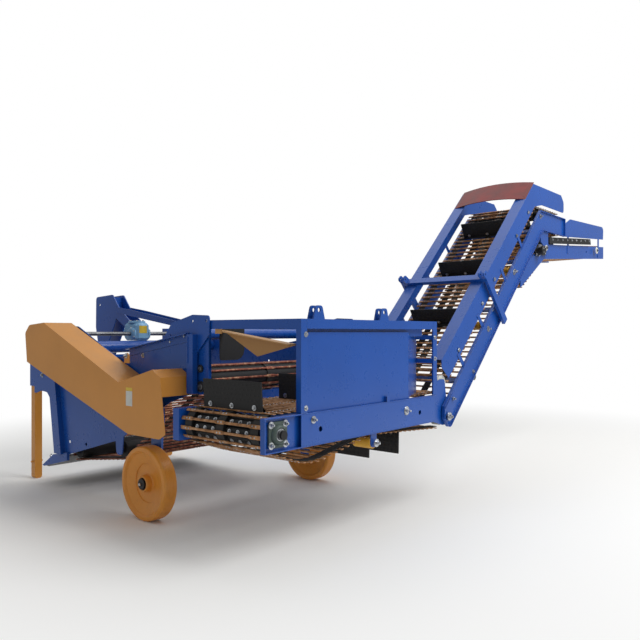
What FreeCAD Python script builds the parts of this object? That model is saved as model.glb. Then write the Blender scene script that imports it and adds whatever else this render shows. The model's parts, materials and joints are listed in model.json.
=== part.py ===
import FreeCAD, Part
import math
import os
import re
import Sketcher
from FreeCAD import Placement, Rotation, Vector

# Peanut harvester: a three-point-hitch digger with a rod web, a cross conveyor behind it, and a
# rod-belt elevator with a discharge head on its right.
# +X is the machine's right, +Y is forward, +Z is up, and the floor is z = 0. Lengths are in mm.
# Every piece is drawn about a datum on the floor under the middle of the conveyor's rear beam, and
# its Placement then brings the middle of the whole machine to the origin.

doc = FreeCAD.newDocument("peanut_harvester")

# ---------------------------------------------------------------- driving dimensions
SIZES = [
    # the digger
    ("half_width", 730, "middle of the machine to the outer face of a side plate"),
    ("side_t", 8, "side plate thickness"),
    ("rib", 60, "width of the two upright tubes on a side plate's front edge"),
    ("post_y", 3140, "middle of the stand sleeves, ahead of the rear beam"),
    ("sleeve", 80, "outside width of a stand sleeve"),
    ("sleeve_t", 6, "sleeve wall"),
    ("sleeve_low", 800, "underside of a stand sleeve"),
    ("sleeve_top", 1300, "top of a stand sleeve"),
    ("leg", 64, "width of a stand leg"),
    ("leg_len", 1000, "length of a stand leg"),
    ("toolbar_y", 2500, "middle of the toolbar tube"),
    ("toolbar_z", 1140, "middle of the toolbar tube"),
    ("toolbar_r", 50, "toolbar tube radius"),
    ("tie_y", 1200, "middle of the rear cross tube"),
    ("tie_z", 1250, "middle of the rear cross tube"),
    ("head_beam", 80, "side of the square headstock beam"),
    ("head_beam_z", 1010, "middle of the headstock beam"),
    ("link_half", 412, "middle of the machine to the shoulder of a lower link pin"),
    ("link_pin_r", 14, "lower link pin radius"),
    ("link_pin_len", 95, "free length of a lower link pin"),
    ("link_z", 910, "height of the lower link pins"),
    ("link_ahead", 190, "stand sleeves to the lower link pins"),
    ("mast_high", 610, "lower link pins to the top link pin"),
    ("top_pin_r", 12.75, "top link hole radius"),
    ("mast_gap", 104, "clear gap between the two mast cheeks"),
    ("mast_t", 10, "mast cheek thickness"),
    # the digging shovel and the rod web behind it
    ("tip_y", 2919, "cutting edge of the shovel"),
    ("tip_z", 140, "height of the cutting edge"),
    ("shovel_len", 400, "shovel depth along its slope"),
    ("shovel_tilt", 20, "slope of the shovel in degrees"),
    ("shovel_t", 12, "shovel thickness"),
    ("web_front_y", 2420, "front web roller"),
    ("web_front_z", 320, "front web roller"),
    ("web_front_r", 70, "front web roller, to the middle of the rods"),
    ("web_low_y", 1800, "lower web roller"),
    ("web_low_z", 400, "lower web roller"),
    ("web_low_r", 70, "lower web roller, to the middle of the rods"),
    ("web_drive_y", 1050, "web drive roller"),
    ("web_drive_z", 950, "web drive roller"),
    ("web_drive_r", 90, "web drive roller, to the middle of the rods"),
    ("web_gap", 12, "gap between a web rod's end and the side plate"),
    # rods and belts
    ("rod_w", 11, "rod width along the belt"),
    ("rod_t", 8, "rod thickness"),
    ("rod_pitch", 58, "rod spacing along a belt"),
    ("band_w", 60, "belt strap width"),
    ("band_t", 6, "belt strap thickness"),
    ("rod_seat", 1.5, "gap between a rod and its straps"),
    ("flight_high", 145, "rubber flight height"),
    ("flight_in", 94, "rod ends to the flights' sides"),
    ("flight_lean", 12, "the flights' upper part leans forward, degrees"),
    ("flight_t", 10, "rubber flight thickness"),
    # wheels
    ("wheel_x", 820, "middle of the machine to the middle of a gauge wheel"),
    ("wheel_y", 1304, "gauge wheel axle"),
    ("wheel_r", 250, "gauge wheel radius"),
    ("wheel_w", 106, "gauge wheel width"),
    ("axle_r", 20, "gauge wheel axle radius"),
    ("run_gap", 0.3, "running clearance of a wheel on its axle"),
    ("arm_t", 16, "gauge wheel arm thickness"),
    # the cross conveyor's box
    ("beam_low", 619, "underside of the conveyor beams"),
    ("beam_high", 190, "conveyor beam height"),
    ("beam_flange", 28, "beam flange width"),
    ("beam_t", 6, "beam wall"),
    ("rod_gap", 6, "gap between a rod's end and a beam"),
    ("rod_len", 678, "cross conveyor and elevator rod length"),
    ("beam_left", 1013, "middle of the machine to the beams' left end"),
    ("box_top", 1340, "top of the box"),
    ("box_depth", 830, "depth of the box"),
    ("post", 50, "leg of a box post"),
    ("post_t", 6, "wall of a box post"),
    ("post_deep", 38, "width of a box post's leg across the belt"),
    ("rail_high", 56, "height of the box's top rails"),
    ("sheet_t", 4, "thickness of the sheet-metal panels"),
    ("end_x", 895, "left end roller, left of the middle"),
    ("end_z", 713, "left end roller"),
    ("end_r", 105, "left end roller, to the middle of the rods"),
    ("idler_x", 16, "yellow return roller, left of the middle"),
    ("idler_z", 558, "yellow return roller"),
    ("idler_r", 40, "return roller radius"),
    # the elevator
    ("disc_r", 62, "hold-down disc radius"),
    ("pivot_x", 900, "elevator pivot, right of the middle"),
    ("pivot_z", 638, "elevator pivot"),
    ("pivot_r", 80, "pivot roller, to the middle of the rods"),
    ("lean", 43.5, "elevator slope in degrees"),
    ("knee_u", 2433, "pivot to the knee, along the elevator"),
    ("knee_n", 10, "knee above the line of the pivot"),
    ("board_lip", 100, "inward lip of an elevator board"),
    ("nose_len", 590, "knee to the end of the nose"),
    ("side_half", 90, "half the height of the elevator's side beams"),
    ("slot_high", 85, "slot between a side beam and its board"),
    ("board_high", 170, "elevator board height"),
    ("side_gap", 6, "gap between the frame and the elevator's side beams"),
    ("portal_u", 1155, "pivot to the portal, along the elevator"),
    ("portal_t", 26, "thickness of the portal's legs"),
    ("hood_u", 2290, "pivot to the lower edge of the rubber hood, along the elevator"),
    ("hood_len", 270, "length of the rubber hood along the elevator"),
    ("hood_r", 1700, "crown of the rubber hood across the elevator, as a radius"),
    ("hood_t", 6, "rubber hood thickness"),
    ("guide_u", 510, "pivot to the elevator's return roller, along the elevator"),
    ("guide_r", 28, "elevator's return roller radius"),
    ("side_proud", 34, "how far the portal stands behind the box"),
    ("elev_flange", 20, "flange width of the elevator's side beams"),
    ("elev_t", 5, "flange thickness of the elevator's side beams"),
    ("sprocket_r", 75, "chain drive sprocket radius"),
    ("guard_out", 975, "middle of the machine to the chain guard's outer face"),
    ("shaft_z", 1250, "lateral drive shaft"),
    ("shaft_r", 17, "lateral drive shaft radius"),
    ("shaft_y", 2550, "lateral drive shaft"),
    ("pin_r", 20, "elevator pivot shaft radius"),
    ("bearing", 143, "side of a square flange bearing"),
    ("bearing_holes", 110, "bolt spacing of a flange bearing"),
    # the discharge head
    ("head_tail_x", 2330, "discharge head tail roller"),
    ("head_tail_z", 1735, "discharge head tail roller"),
    ("head_knee_x", 2800, "discharge head knee"),
    ("head_knee_z", 2043, "discharge head knee"),
    ("head_lip", 150, "end roller to the ends of the head's sides"),
    ("head_end_x", 4450, "discharge head end roller"),
    ("head_end_z", 2192, "discharge head end roller"),
    ("head_r", 62, "discharge head rollers, to the middle of the rods"),
    ("head_side", 138, "discharge head side beam height"),
    ("head_in", 30, "discharge head side beams inside the elevator's"),
]

sheet = doc.addObject("Spreadsheet::Sheet", "Dims")
for row, (alias, value, note) in enumerate(SIZES, start=1):
    sheet.set("A%d" % row, alias)
    sheet.set("B%d" % row, str(value))
    sheet.set("C%d" % row, note)
    sheet.setAlias("B%d" % row, alias)
doc.recompute()
ALIASES = {alias for alias, value, note in SIZES}


def size(alias):
    """The sheet's value of a driving dimension, in mm or degrees."""
    return float(getattr(sheet, alias))


def linked(text):
    """An expression in the sheet's aliases, written as FreeCAD reads it."""
    return re.sub(r"[a-z][a-z_0-9]*", lambda word: "Dims." + word[0] if word[0] in ALIASES else word[0], text)


def bind(thing, path, text):
    thing.setExpression(path, linked(str(text)))


# ---------------------------------------------------------------- where the pieces are
# Clear widths of the conveyor, from its rear beam forward.
ROD_START = "(beam_flange + beam_t + rod_gap)"
ROD_END = "(beam_flange + beam_t + rod_gap + rod_len)"
FRONT_WEB = "(beam_flange + beam_t + 2 * rod_gap + rod_len)"
CONVEYOR_WIDTH = "(box_depth - post)"
# The hold-down discs sit where the level belt and the slope meet.
DISC_X = "(pivot_x - 40)"
DISC_Z = "(end_z + end_r + disc_r + rod_t / 2)"
NEAR_WEB = "(beam_flange - side_gap - beam_t)"
FAR_WEB = "(2 * rod_gap + rod_len + beam_flange + 2 * beam_t + side_gap)"

# The middle of the machine's bounding box, brought to the origin.
MIDDLE_X = "((head_end_x + head_lip - beam_left) / 2)"
MIDDLE_Y = "((post_y + link_ahead + 45 - side_proud) / 2)"

nodes = []


def place(thing, x="0", y="0", z="0", axis=None, angle=None):
    """Set where a piece sits, all in the sheet's words."""
    if axis is not None:
        thing.Placement = Placement(Vector(0, 0, 0), Rotation(axis, 1))
        bind(thing, ".Placement.Rotation.Angle", angle)
    for letter, text in zip("xyz", (x, y, z)):
        bind(thing, ".Placement.Base." + letter, text)
    return thing


def node(name, thing, x="0", y="0", z="0", axis=None, angle=None):
    """Name a finished sub-part, and bring it from the datum to the machine's own frame."""
    thing.Label = name
    place(thing, "%s - %s" % (x, MIDDLE_X), "%s - %s" % (y, MIDDLE_Y), z, axis, angle)
    nodes.append((name, thing))
    return thing


def elevator_node(name, thing):
    """A sub-part drawn along the elevator: X up its slope from the pivot, Z square to it."""
    return node(name, thing, "pivot_x", "0", "pivot_z", Vector(0, 1, 0), "-lean")


def box(name, length, width, height, x="0", y="0", z="0"):
    thing = doc.addObject("Part::Box", name)
    for prop, text in (("Length", length), ("Width", width), ("Height", height)):
        bind(thing, prop, text)
    return place(thing, x, y, z)


TURNS = {"X": Rotation(Vector(0, 1, 0), 90), "Y": Rotation(Vector(1, 0, 0), -90), "Z": Rotation()}


def rod(name, radius, length, x="0", y="0", z="0", along="Y"):
    """A cylinder that starts at x, y, z and runs along an axis."""
    thing = doc.addObject("Part::Cylinder", name)
    bind(thing, "Radius", radius)
    bind(thing, "Height", length)
    thing.Placement = Placement(Vector(0, 0, 0), TURNS[along])
    return place(thing, x, y, z)


def fuse(name, *parts):
    thing = doc.addObject("Part::MultiFuse", name)
    thing.Shapes = list(parts)
    thing.Refine = True
    return thing


def cut(name, base, *tools):
    thing = doc.addObject("Part::Cut", name)
    thing.Base = base
    thing.Tool = tools[0] if len(tools) == 1 else fuse(name + "_tools", *tools)
    return thing


def group(name, *parts):
    """Pieces that share a sub-part and don't touch."""
    thing = doc.addObject("Part::Compound", name)
    thing.Links = list(parts)
    return thing


def copy_to(name, source, x="0", y="0", z="0"):
    """A second piece like the first, moved."""
    thing = doc.addObject("Part::Compound", name)
    thing.Links = [source]
    return place(thing, x, y, z)


def mirrored(name, source):
    """The same piece on the machine's other side."""
    thing = doc.addObject("Part::Mirroring", name)
    thing.Source = source
    thing.Normal = Vector(1, 0, 0)
    return thing


# ---------------------------------------------------------------- drawn plates
PLANES = {"YZ": "YZ_Plane", "XZ": "XZ_Plane", "XY": "XY_Plane"}


def draw_point(sketch, geo, pos, x, y):
    """Pin one sketch point to its place, in the sheet's words."""
    for kind, text, axis in (("DistanceX", x, -2), ("DistanceY", y, -1)):
        if str(text) == "0":
            sketch.addConstraint(Sketcher.Constraint("PointOnObject", geo, pos, axis))
        else:
            at = sketch.addConstraint(Sketcher.Constraint(kind, -1, 1, geo, pos, worth(text)))
            bind(sketch, "Constraints[%d]" % at, text)


def worth(text):
    """What an expression in the sheet's words comes to."""
    return float(sheet.evalExpression(linked(str(text))))


def outline(sketch, points, holes=()):
    """A closed outline of straight edges, with round holes."""
    count = len(points)
    places = [Vector(worth(x), worth(y), 0) for x, y in points]
    for at in range(count):
        sketch.addGeometry(Part.LineSegment(places[at], places[(at + 1) % count]), False)
    for at in range(count):
        sketch.addConstraint(Sketcher.Constraint("Coincident", at, 2, (at + 1) % count, 1))
    for at, (x, y) in enumerate(points):
        draw_point(sketch, at, 1, x, y)
    for x, y, radius in holes:
        circle = Part.Circle(Vector(worth(x), worth(y), 0), Vector(0, 0, 1), worth(radius))
        geo = sketch.addGeometry(circle, False)
        draw_point(sketch, geo, 3, x, y)
        at = sketch.addConstraint(Sketcher.Constraint("Radius", geo, worth(radius)))
        bind(sketch, "Constraints[%d]" % at, radius)


def plate(name, plane, points, start, thick, holes=(), rounds=()):
    """A flat plate: an outline drawn on a plane, from start on along the plane's axis.

    rounds gives (corner number, radius) for the corners that are rounded off."""
    body = doc.addObject("PartDesign::Body", name)
    sketch = body.newObject("Sketcher::SketchObject", name + "_outline")
    base = [o for o in body.Origin.OriginFeatures if o.Role == PLANES[plane]][0]
    sketch.AttachmentSupport = [(base, "")]
    sketch.MapMode = "FlatFace"
    outline(sketch, points, holes)
    pad = body.newObject("PartDesign::Pad", name + "_pad")
    pad.Profile = sketch
    bind(pad, "Length", thick)
    if plane == "XZ":
        pad.Reversed = True
        bind(sketch, ".AttachmentOffset.Base.z", "-(%s)" % start)
    else:
        bind(sketch, ".AttachmentOffset.Base.z", start)
    body.Tip = pad
    if rounds:
        doc.recompute()
        by_radius = {}
        for corner, radius in rounds:
            by_radius.setdefault(radius, []).append(corner)
        for radius, corners in by_radius.items():
            spots = [(worth(points[c][0]), worth(points[c][1])) for c in corners]
            before = body.Tip
            fillet = body.newObject("PartDesign::Fillet", name + "_round")
            fillet.Base = (before, upright_edges(before.Shape, plane, spots))
            bind(fillet, "Radius", radius)
            body.Tip = fillet
            doc.recompute()
    return body


def upright_edges(shape, plane, spots):
    """The names of the edges that run through a plate at the given corners."""
    names = []
    for number, edge in enumerate(shape.Edges, start=1):
        if not isinstance(edge.Curve, Part.Line):
            continue
        a, b = edge.Vertexes[0].Point, edge.Vertexes[-1].Point
        pair = {"YZ": lambda p: (p.y, p.z), "XZ": lambda p: (p.x, p.z), "XY": lambda p: (p.x, p.y)}[plane]
        if math.dist(pair(a), pair(b)) > 0.01:
            continue
        if any(math.dist(pair(a), spot) < 0.01 for spot in spots):
            names.append("Edge%d" % number)
    return names


def turned(name, profile):
    """A solid of revolution about the body's X axis: profile is (distance along, radius)."""
    body = doc.addObject("PartDesign::Body", name)
    sketch = body.newObject("Sketcher::SketchObject", name + "_section")
    base = [o for o in body.Origin.OriginFeatures if o.Role == "XZ_Plane"][0]
    sketch.AttachmentSupport = [(base, "")]
    sketch.MapMode = "FlatFace"
    outline(sketch, profile)
    spin = body.newObject("PartDesign::Revolution", name + "_turn")
    spin.Profile = sketch
    spin.ReferenceAxis = (sketch, ["H_Axis"])
    spin.Angle = 360
    body.Tip = spin
    return body


# ---------------------------------------------------------------- rod belts
def tangent_path(wheels):
    """Straight runs and arcs round a list of wheels: (x, z, radius, turn), turn +1 for leftward.

    Gives a list of ("line", start, end) and ("arc", centre, radius, from angle, turn angle)."""
    headings = []
    for (ax, az, ar, at), (bx, bz, br, bt) in zip(wheels, wheels[1:]):
        far = math.hypot(bx - ax, bz - az)
        headings.append(math.atan2(bz - az, bx - ax) - math.asin((bt * br - at * ar) / far))
    runs = []
    for number, heading in enumerate(headings):
        left = (-math.sin(heading), math.cos(heading))
        ends = []
        for x, z, radius, turn in wheels[number:number + 2]:
            ends.append((x - turn * radius * left[0], z - turn * radius * left[1]))
        if number:
            x, z, radius, turn = wheels[number]
            bend = (heading - headings[number - 1]) * turn % (2 * math.pi)
            if bend < 2 * math.pi - 1e-6 and bend > 1e-6:
                begin = headings[number - 1] - turn * math.pi / 2
                runs.append(("arc", (x, z), radius, begin, turn * bend))
        runs.append(("line", ends[0], ends[1]))
    return runs


def run_length(run):
    if run[0] == "line":
        return math.dist(run[1], run[2])
    return run[2] * abs(run[4])


def on_path(runs, along):
    """Where a path is at a distance along it, and its heading there."""
    for run in runs:
        far = run_length(run)
        if along <= far or run is runs[-1]:
            break
        along -= far
    if run[0] == "line":
        (ax, az), (bx, bz) = run[1:]
        heading = math.atan2(bz - az, bx - ax)
        return ax + along * math.cos(heading), az + along * math.sin(heading), heading
    kind, (cx, cz), radius, begin, bend = run
    angle = begin + bend * along / far
    x = cx + radius * math.cos(angle)
    z = cz + radius * math.sin(angle)
    return x, z, angle + math.copysign(math.pi / 2, bend)


def offset_edges(runs, aside):
    """The path's edges, moved to its left by a distance, in the XZ plane."""
    edges = []
    for run in runs:
        if run[0] == "line":
            (ax, az), (bx, bz) = run[1:]
            heading = math.atan2(bz - az, bx - ax)
            dx, dz = -aside * math.sin(heading), aside * math.cos(heading)
            edges.append(Part.LineSegment(Vector(ax + dx, 0, az + dz), Vector(bx + dx, 0, bz + dz)).toShape())
        else:
            kind, (cx, cz), radius, begin, bend = run
            r = radius - (aside if bend > 0 else -aside)
            spots = [begin + bend * share for share in (0, 0.5, 1)]
            spots = [Vector(cx + r * math.cos(a), 0, cz + r * math.sin(a)) for a in spots]
            edges.append(Part.Arc(*spots).toShape())
    return edges


def strap(runs, closed, y, width, inner, outer):
    """One belt strap: the path between two offsets, extruded across its width."""
    one = offset_edges(runs, inner)
    two = offset_edges(runs, outer)
    if closed:
        wires = [Part.Wire(one), Part.Wire(two)]
        wires.sort(key=lambda wire: -wire.BoundBox.DiagonalLength)
        face = Part.Face(wires[0]).cut(Part.Face(wires[1]))
    else:
        ends = [Part.LineSegment(one[0].Vertexes[0].Point, two[0].Vertexes[0].Point).toShape()]
        x, z, heading = on_path(runs, total_length(runs))
        a = Vector(x - inner * math.sin(heading), 0, z + inner * math.cos(heading))
        b = Vector(x - outer * math.sin(heading), 0, z + outer * math.cos(heading))
        ends.append(Part.LineSegment(a, b).toShape())
        face = Part.Face(Part.Wire(Part.__sortEdges__(one + two + ends)))
    face.translate(Vector(0, y, 0))
    return face.extrude(Vector(0, width, 0))


def total_length(runs):
    return sum(run_length(run) for run in runs)


def bar_across(runs, along, y, length, wide, inner, outer):
    """A straight bar across a belt, between two offsets to the left of the path."""
    x, z, heading = on_path(runs, along)
    bar = Part.makeBox(wide, length, outer - inner, Vector(-wide / 2, y, inner))
    bar.rotate(Vector(0, 0, 0), Vector(0, 1, 0), -math.degrees(heading))
    bar.translate(Vector(x, 0, z))
    return bar


def flight(runs, along, y, rod_length, outside):
    """A rubber-faced flight: an upright foot that stands on a rod, and a blade that leans forward."""
    x, z, heading = on_path(runs, along)
    foot, high, thick = 45, size("flight_high"), size("flight_t")
    base = size("rod_t") / 2
    lean = (high - foot) * math.tan(math.radians(size("flight_lean")))
    profile = [(0, base), (0, foot), (lean, high), (lean + thick, high), (thick, foot), (thick, base)]
    corners = [Vector(-thick / 2 + px, 0, outside * pz) for px, pz in profile]
    blade = Part.Face(Part.makePolygon(corners + corners[:1])).extrude(Vector(0, rod_length - 2 * size("flight_in"), 0))
    blade.translate(Vector(0, y + size("flight_in"), 0))
    blade.rotate(Vector(0, 0, 0), Vector(0, 1, 0), -math.degrees(heading))
    blade.translate(Vector(x, 0, z))
    return blade


def belt_runs(wheels, closed):
    """A belt's path, and the spacing of its rods along it."""
    runs = tangent_path(wheels + wheels[:2])[:-1] if closed else tangent_path(wheels)
    far = total_length(runs)
    return runs, far / int(far / size("rod_pitch"))


def rod_belt(wheels, closed, y, rod_length, straps, outside=-1):
    """Straps round the wheels and rods let into their outer side, in one.

    The path is where the middle of the rods runs. outside is -1 where the belt's outer side is on
    the right of its travel."""
    runs, step = belt_runs(wheels, closed)
    half = size("rod_t") / 2
    near = half - size("rod_seat")
    band = sorted((-outside * near, -outside * (near + size("band_t"))))
    solids = [strap(runs, closed, y + at, size("band_w"), band[0], band[1]) for at in straps]
    count = round(total_length(runs) / step)
    for number in range(count if closed else count + 1):
        along = number * step
        if not closed and number in (0, count):
            continue
        solids.append(bar_across(runs, along, y, rod_length, size("rod_w"), -half, half))
    return solids[0].fuse(solids[1:])


def belt_flights(wheels, y, rod_length, places, outside=-1):
    """Flights on the rods nearest to some distances along an open belt."""
    runs, step = belt_runs(wheels, False)
    return Part.makeCompound([flight(runs, round(along / step) * step, y, rod_length, outside) for along in places])


def strap_wheels(at, radius, shaft, belt_start, straps, shaft_r):
    """A shaft across the machine with a wheel under each strap; shaft is its start and its length."""
    along = Vector(0, 1, 0)
    whole = Part.makeCylinder(shaft_r, shaft[1], Vector(at[0], shaft[0], at[1]), along)
    for offset in straps:
        start = Vector(at[0], belt_start + offset + 5, at[1])
        whole = whole.fuse(Part.makeCylinder(radius, size("band_w") - 10, start, along))
    return whole


def three_straps():
    """Where the straps of the cross conveyor and the elevator start, from the rods' ends."""
    edge, wide, length = 30, size("band_w"), size("rod_len")
    return [edge, length / 2 - wide / 2, length - edge - wide]


def shaped(name, shape):
    """A sub-part whose shape is worked out from the sheet by the functions above."""
    thing = doc.addObject("Part::Feature", name)
    thing.Shape = shape
    return thing


def wheels_of(*rows):
    return [tuple(worth(value) for value in row) for row in rows]


# ---------------------------------------------------------------- the digger's frame
def side_plate():
    """The left side plate, outer face at -half_width, arched between the shovel and the stand."""
    points = [
        ("box_depth", "web_drive_z - 85"),
        ("web_drive_y - 95", "web_drive_z - 85"),
        ("web_drive_y + 150", "web_drive_z - 160"),
        ("web_low_y", "web_low_z + 75"),
        ("web_front_y + 220", "web_front_z - 70"),
        ("web_front_y + 290", "web_front_z + 130"),
        ("web_front_y + 385", "sleeve_low - 110"),
        ("web_front_y + 460", "sleeve_low - 40"),
        ("post_y - 155", "sleeve_low - 32"),
        ("post_y - 75", "sleeve_low - 55"),
        ("post_y - sleeve / 2", "sleeve_low - 55"),
        ("post_y - sleeve / 2", "toolbar_z + 110"),
        ("toolbar_y + 200", "shaft_z + 60"),
        ("toolbar_y - 120", "shaft_z + 60"),
        ("web_low_y + 40", "toolbar_z - 60"),
        ("web_low_y - 140", "toolbar_z - 47"),
        ("box_depth", "tie_z - 20"),
    ]
    holes = [
        ("web_front_y - 160", "web_front_z + 70", "15"),
        ("web_front_y + 90", "web_front_z + 65", "15"),
        ("web_low_y - 90", "toolbar_z - 130", "11"),
        ("web_low_y - 150", "toolbar_z - 150", "11"),
        ("shaft_y", "shaft_z", "shaft_r + 3"),
    ]
    rounds = [(2, "60"), (6, "40"), (7, "40"), (12, "50"), (13, "80"), (14, "60")]
    return plate("side_plate", "YZ", points, "-half_width", "side_t", holes, rounds)


def mirror_node(name, source):
    """The right-hand twin of a piece drawn on the left."""
    return node(name, mirrored(name + "_twin", source))


def digger_sides():
    left = side_plate()
    # Two upright tubes stiffen the front edge of each side plate, behind the shovel.
    tubes = []
    for number, back in enumerate(("0", "rib + 12")):
        points = [
            ("web_front_y + 205 - %s" % back, "web_front_z - 42"),
            ("web_front_y + 205 + rib - %s" % back, "web_front_z - 42"),
            ("web_front_y + 325 + rib - %s" % back, "toolbar_z - 140"),
            ("web_front_y + 325 - %s" % back, "toolbar_z - 140"),
        ]
        tubes.append(plate("front_tube_%d" % number, "YZ", points, "-half_width - 40", "40"))
    nose = plate("share_arm", "YZ", [
        ("web_front_y + 90", "web_front_z - 20"),
        ("web_front_y + 90", "web_front_z - 85"),
        ("tip_y - 40", "tip_z + 6"),
        ("tip_y - 6", "tip_z + 10"),
        ("tip_y - 190", "tip_z + 120"),
    ], "-half_width - 24", "24")
    # An angle along the top of each side, and a shoulder plate that carries the box.
    rail = fuse(
        "side_rail_angle",
        plate("rail_upright", "YZ", [
            ("web_low_y - 140", "toolbar_z - 47"),
            ("web_drive_y - 85", "tie_z - 42"),
            ("web_drive_y - 85", "tie_z + 10"),
            ("web_low_y - 140", "toolbar_z + 5"),
        ], "-half_width - 6", "6"),
        plate("rail_ledge", "YZ", [
            ("web_low_y - 140", "toolbar_z - 1"),
            ("web_drive_y - 85", "tie_z + 4"),
            ("web_drive_y - 85", "tie_z + 10"),
            ("web_low_y - 140", "toolbar_z + 5"),
        ], "-half_width - 45", "45"),
    )
    shoulder = plate("shoulder", "YZ", [
        ("box_depth - 60", "box_top - 90"),
        ("box_depth - 60", "box_top + 30"),
        ("web_drive_y - 115", "box_top + 37"),
        ("tie_y - 45", "box_top - 15"),
        ("tie_y + 60", "tie_z - 45"),
        ("web_drive_y - 75", "tie_z + 12"),
        ("web_drive_y - 150", "tie_z - 130"),
    ], "-half_width - 14", "8", [
        ("tie_y - 30", "tie_z - 8", "9"),
        ("web_drive_y - 115", "box_top - 5", "9"),
        ("box_depth - 32", "box_top - 5", "9"),
    ], [(1, "20"), (2, "30"), (3, "50")])
    strut = box("shoulder_strut", "40", "60", "tie_z - web_drive_z + 80",
                "-half_width - 54", "web_drive_y - 165", "web_drive_z - 80")
    packer = box("shoulder_packer", "8", "45", "44", "-half_width - 7", "box_depth + 40", "tie_z - 66")
    hanger = plate("low_roller_hanger", "YZ", [
        ("web_low_y - 35", "web_low_z - 35"), ("web_low_y + 35", "web_low_z - 35"),
        ("web_low_y + 60", "web_low_z + 150"), ("web_low_y - 60", "web_low_z + 150"),
    ], "-half_width", "side_t", rounds=[(0, "30"), (1, "30")])
    side = fuse("side_weldment", left, hanger, tubes[0], tubes[1], nose, rail, shoulder, strut, packer, stand_sleeve())
    mirror_node("side_frame_right", side)
    node("side_frame_left", copy_to("side_frame_here", side))


def stand_sleeve():
    """The square sleeve on the left front corner that a stand leg slides in."""
    outer = box("sleeve_outer", "sleeve", "sleeve", "sleeve_top - sleeve_low",
                "-half_width", "post_y - sleeve / 2", "sleeve_low")
    bore = box("sleeve_bore", "sleeve - 2 * sleeve_t", "sleeve - 2 * sleeve_t", "sleeve_top - sleeve_low + 20",
               "-half_width + sleeve_t", "post_y - sleeve / 2 + sleeve_t", "sleeve_low - 10")
    return cut("stand_sleeve", outer, bore)


def stands():
    """A leg in each sleeve, square with a rounded foot."""
    middle = "-half_width + sleeve / 2"
    leg = plate("leg_profile", "XZ", [
        ("-leg / 2", "0"), ("-leg / 2", "leg_len"), ("leg / 2", "leg_len"), ("leg / 2", "0"),
    ], "-leg / 2", "leg", rounds=[(0, "22"), (3, "22")])
    pin = rod("leg_pin", "8", "leg + 36", "-leg / 2 - 18", "0", "145", "X")
    whole = place(fuse("stand_leg", leg, pin), middle, "post_y", "0")
    mirror_node("stand_leg_right", whole)
    node("stand_leg_left", copy_to("leg_here", whole))


def hitch():
    inside = "(half_width - side_t)"
    bar = rod("toolbar_tube", "toolbar_r", "2 * %s" % inside, "-%s" % inside, "toolbar_y", "toolbar_z", "X")
    node("toolbar", group("toolbar_piece", bar))
    tie = rod("tie_tube", "38", "2 * %s" % inside, "-%s" % inside, "tie_y", "tie_z", "X")
    beam = box("head_bar", "2 * (half_width - sleeve)", "head_beam", "head_beam",
               "-half_width + sleeve", "post_y - head_beam / 2", "head_beam_z - head_beam / 2")
    parts = [beam]
    for side, sign in (("left", "-1"), ("right", "1")):
        cheek = plate("link_cheek_" + side, "YZ", [
            ("post_y + head_beam / 2", "head_beam_z + head_beam / 2"),
            ("post_y + head_beam / 2", "head_beam_z - head_beam / 2"),
            ("post_y + head_beam / 2 - 20", "link_z - 45"),
            ("post_y + link_ahead + 45", "link_z - 45"),
            ("post_y + link_ahead + 45", "link_z + 45"),
        ], "%s * link_half - 10 + %s * 10" % (sign, "-(%s)" % sign), "20", rounds=[(3, "40"), (4, "40")])
        start = "-link_half - link_pin_len" if side == "left" else "link_half"
        pin = rod("link_pin_" + side, "link_pin_r", "link_pin_len", start, "post_y + link_ahead", "link_z", "X")
        parts += [cheek, pin]
    node("headstock", fuse("headstock_bar", *parts))

    cheek_points = [
        ("shaft_y + 90", "toolbar_z + toolbar_r + 145"),
        ("shaft_y + 90", "toolbar_z + toolbar_r + 55"),
        ("post_y - 240", "toolbar_z + 250"),
        ("post_y - head_beam / 2", "head_beam_z + head_beam / 2"),
        ("post_y + head_beam / 2", "head_beam_z + head_beam / 2"),
        ("post_y + 105", "link_z + mast_high - 210"),
        ("post_y + 100", "link_z + mast_high + 75"),
        ("post_y - 180", "link_z + mast_high + 90"),
        ("post_y - 290", "link_z + mast_high - 40"),
    ]
    cheeks = []
    for side, start in (("left", "-mast_gap / 2 - mast_t"), ("right", "mast_gap / 2")):
        cheeks.append(plate("mast_cheek_" + side, "YZ", cheek_points, start, "mast_t",
                            [("post_y + 40", "link_z + mast_high", "top_pin_r")], [(6, "30"), (7, "30")]))
    cap = box("mast_cap", "mast_gap", "150", "8", "-mast_gap / 2", "post_y - 150", "link_z + mast_high + 60")
    back = box("mast_back", "mast_gap", "8", "150", "-mast_gap / 2", "post_y - 158", "link_z + mast_high - 82")
    node("hitch_mast", fuse("mast", cheeks[0], cheeks[1], cap, back))

    brace_points = [
        ("post_y - 250", "link_z + mast_high - 75"),
        ("post_y - 250", "link_z + mast_high - 25"),
        ("post_y - 500", "link_z + mast_high - 60"),
        ("toolbar_y - 500", "tie_z + 105"),
        ("tie_y + 20", "tie_z + 20"),
        ("tie_y + 20", "tie_z - 25"),
        ("toolbar_y - 500", "tie_z + 60"),
        ("post_y - 500", "link_z + mast_high - 115"),
    ]
    braces = [
        plate("brace_left_plate", "YZ", brace_points, "-mast_gap / 2 - mast_t - 8", "8"),
        plate("brace_right_plate", "YZ", brace_points, "mast_gap / 2 + mast_t", "8"),
    ]
    node("mast_braces", fuse("braces", tie, *braces))


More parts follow.
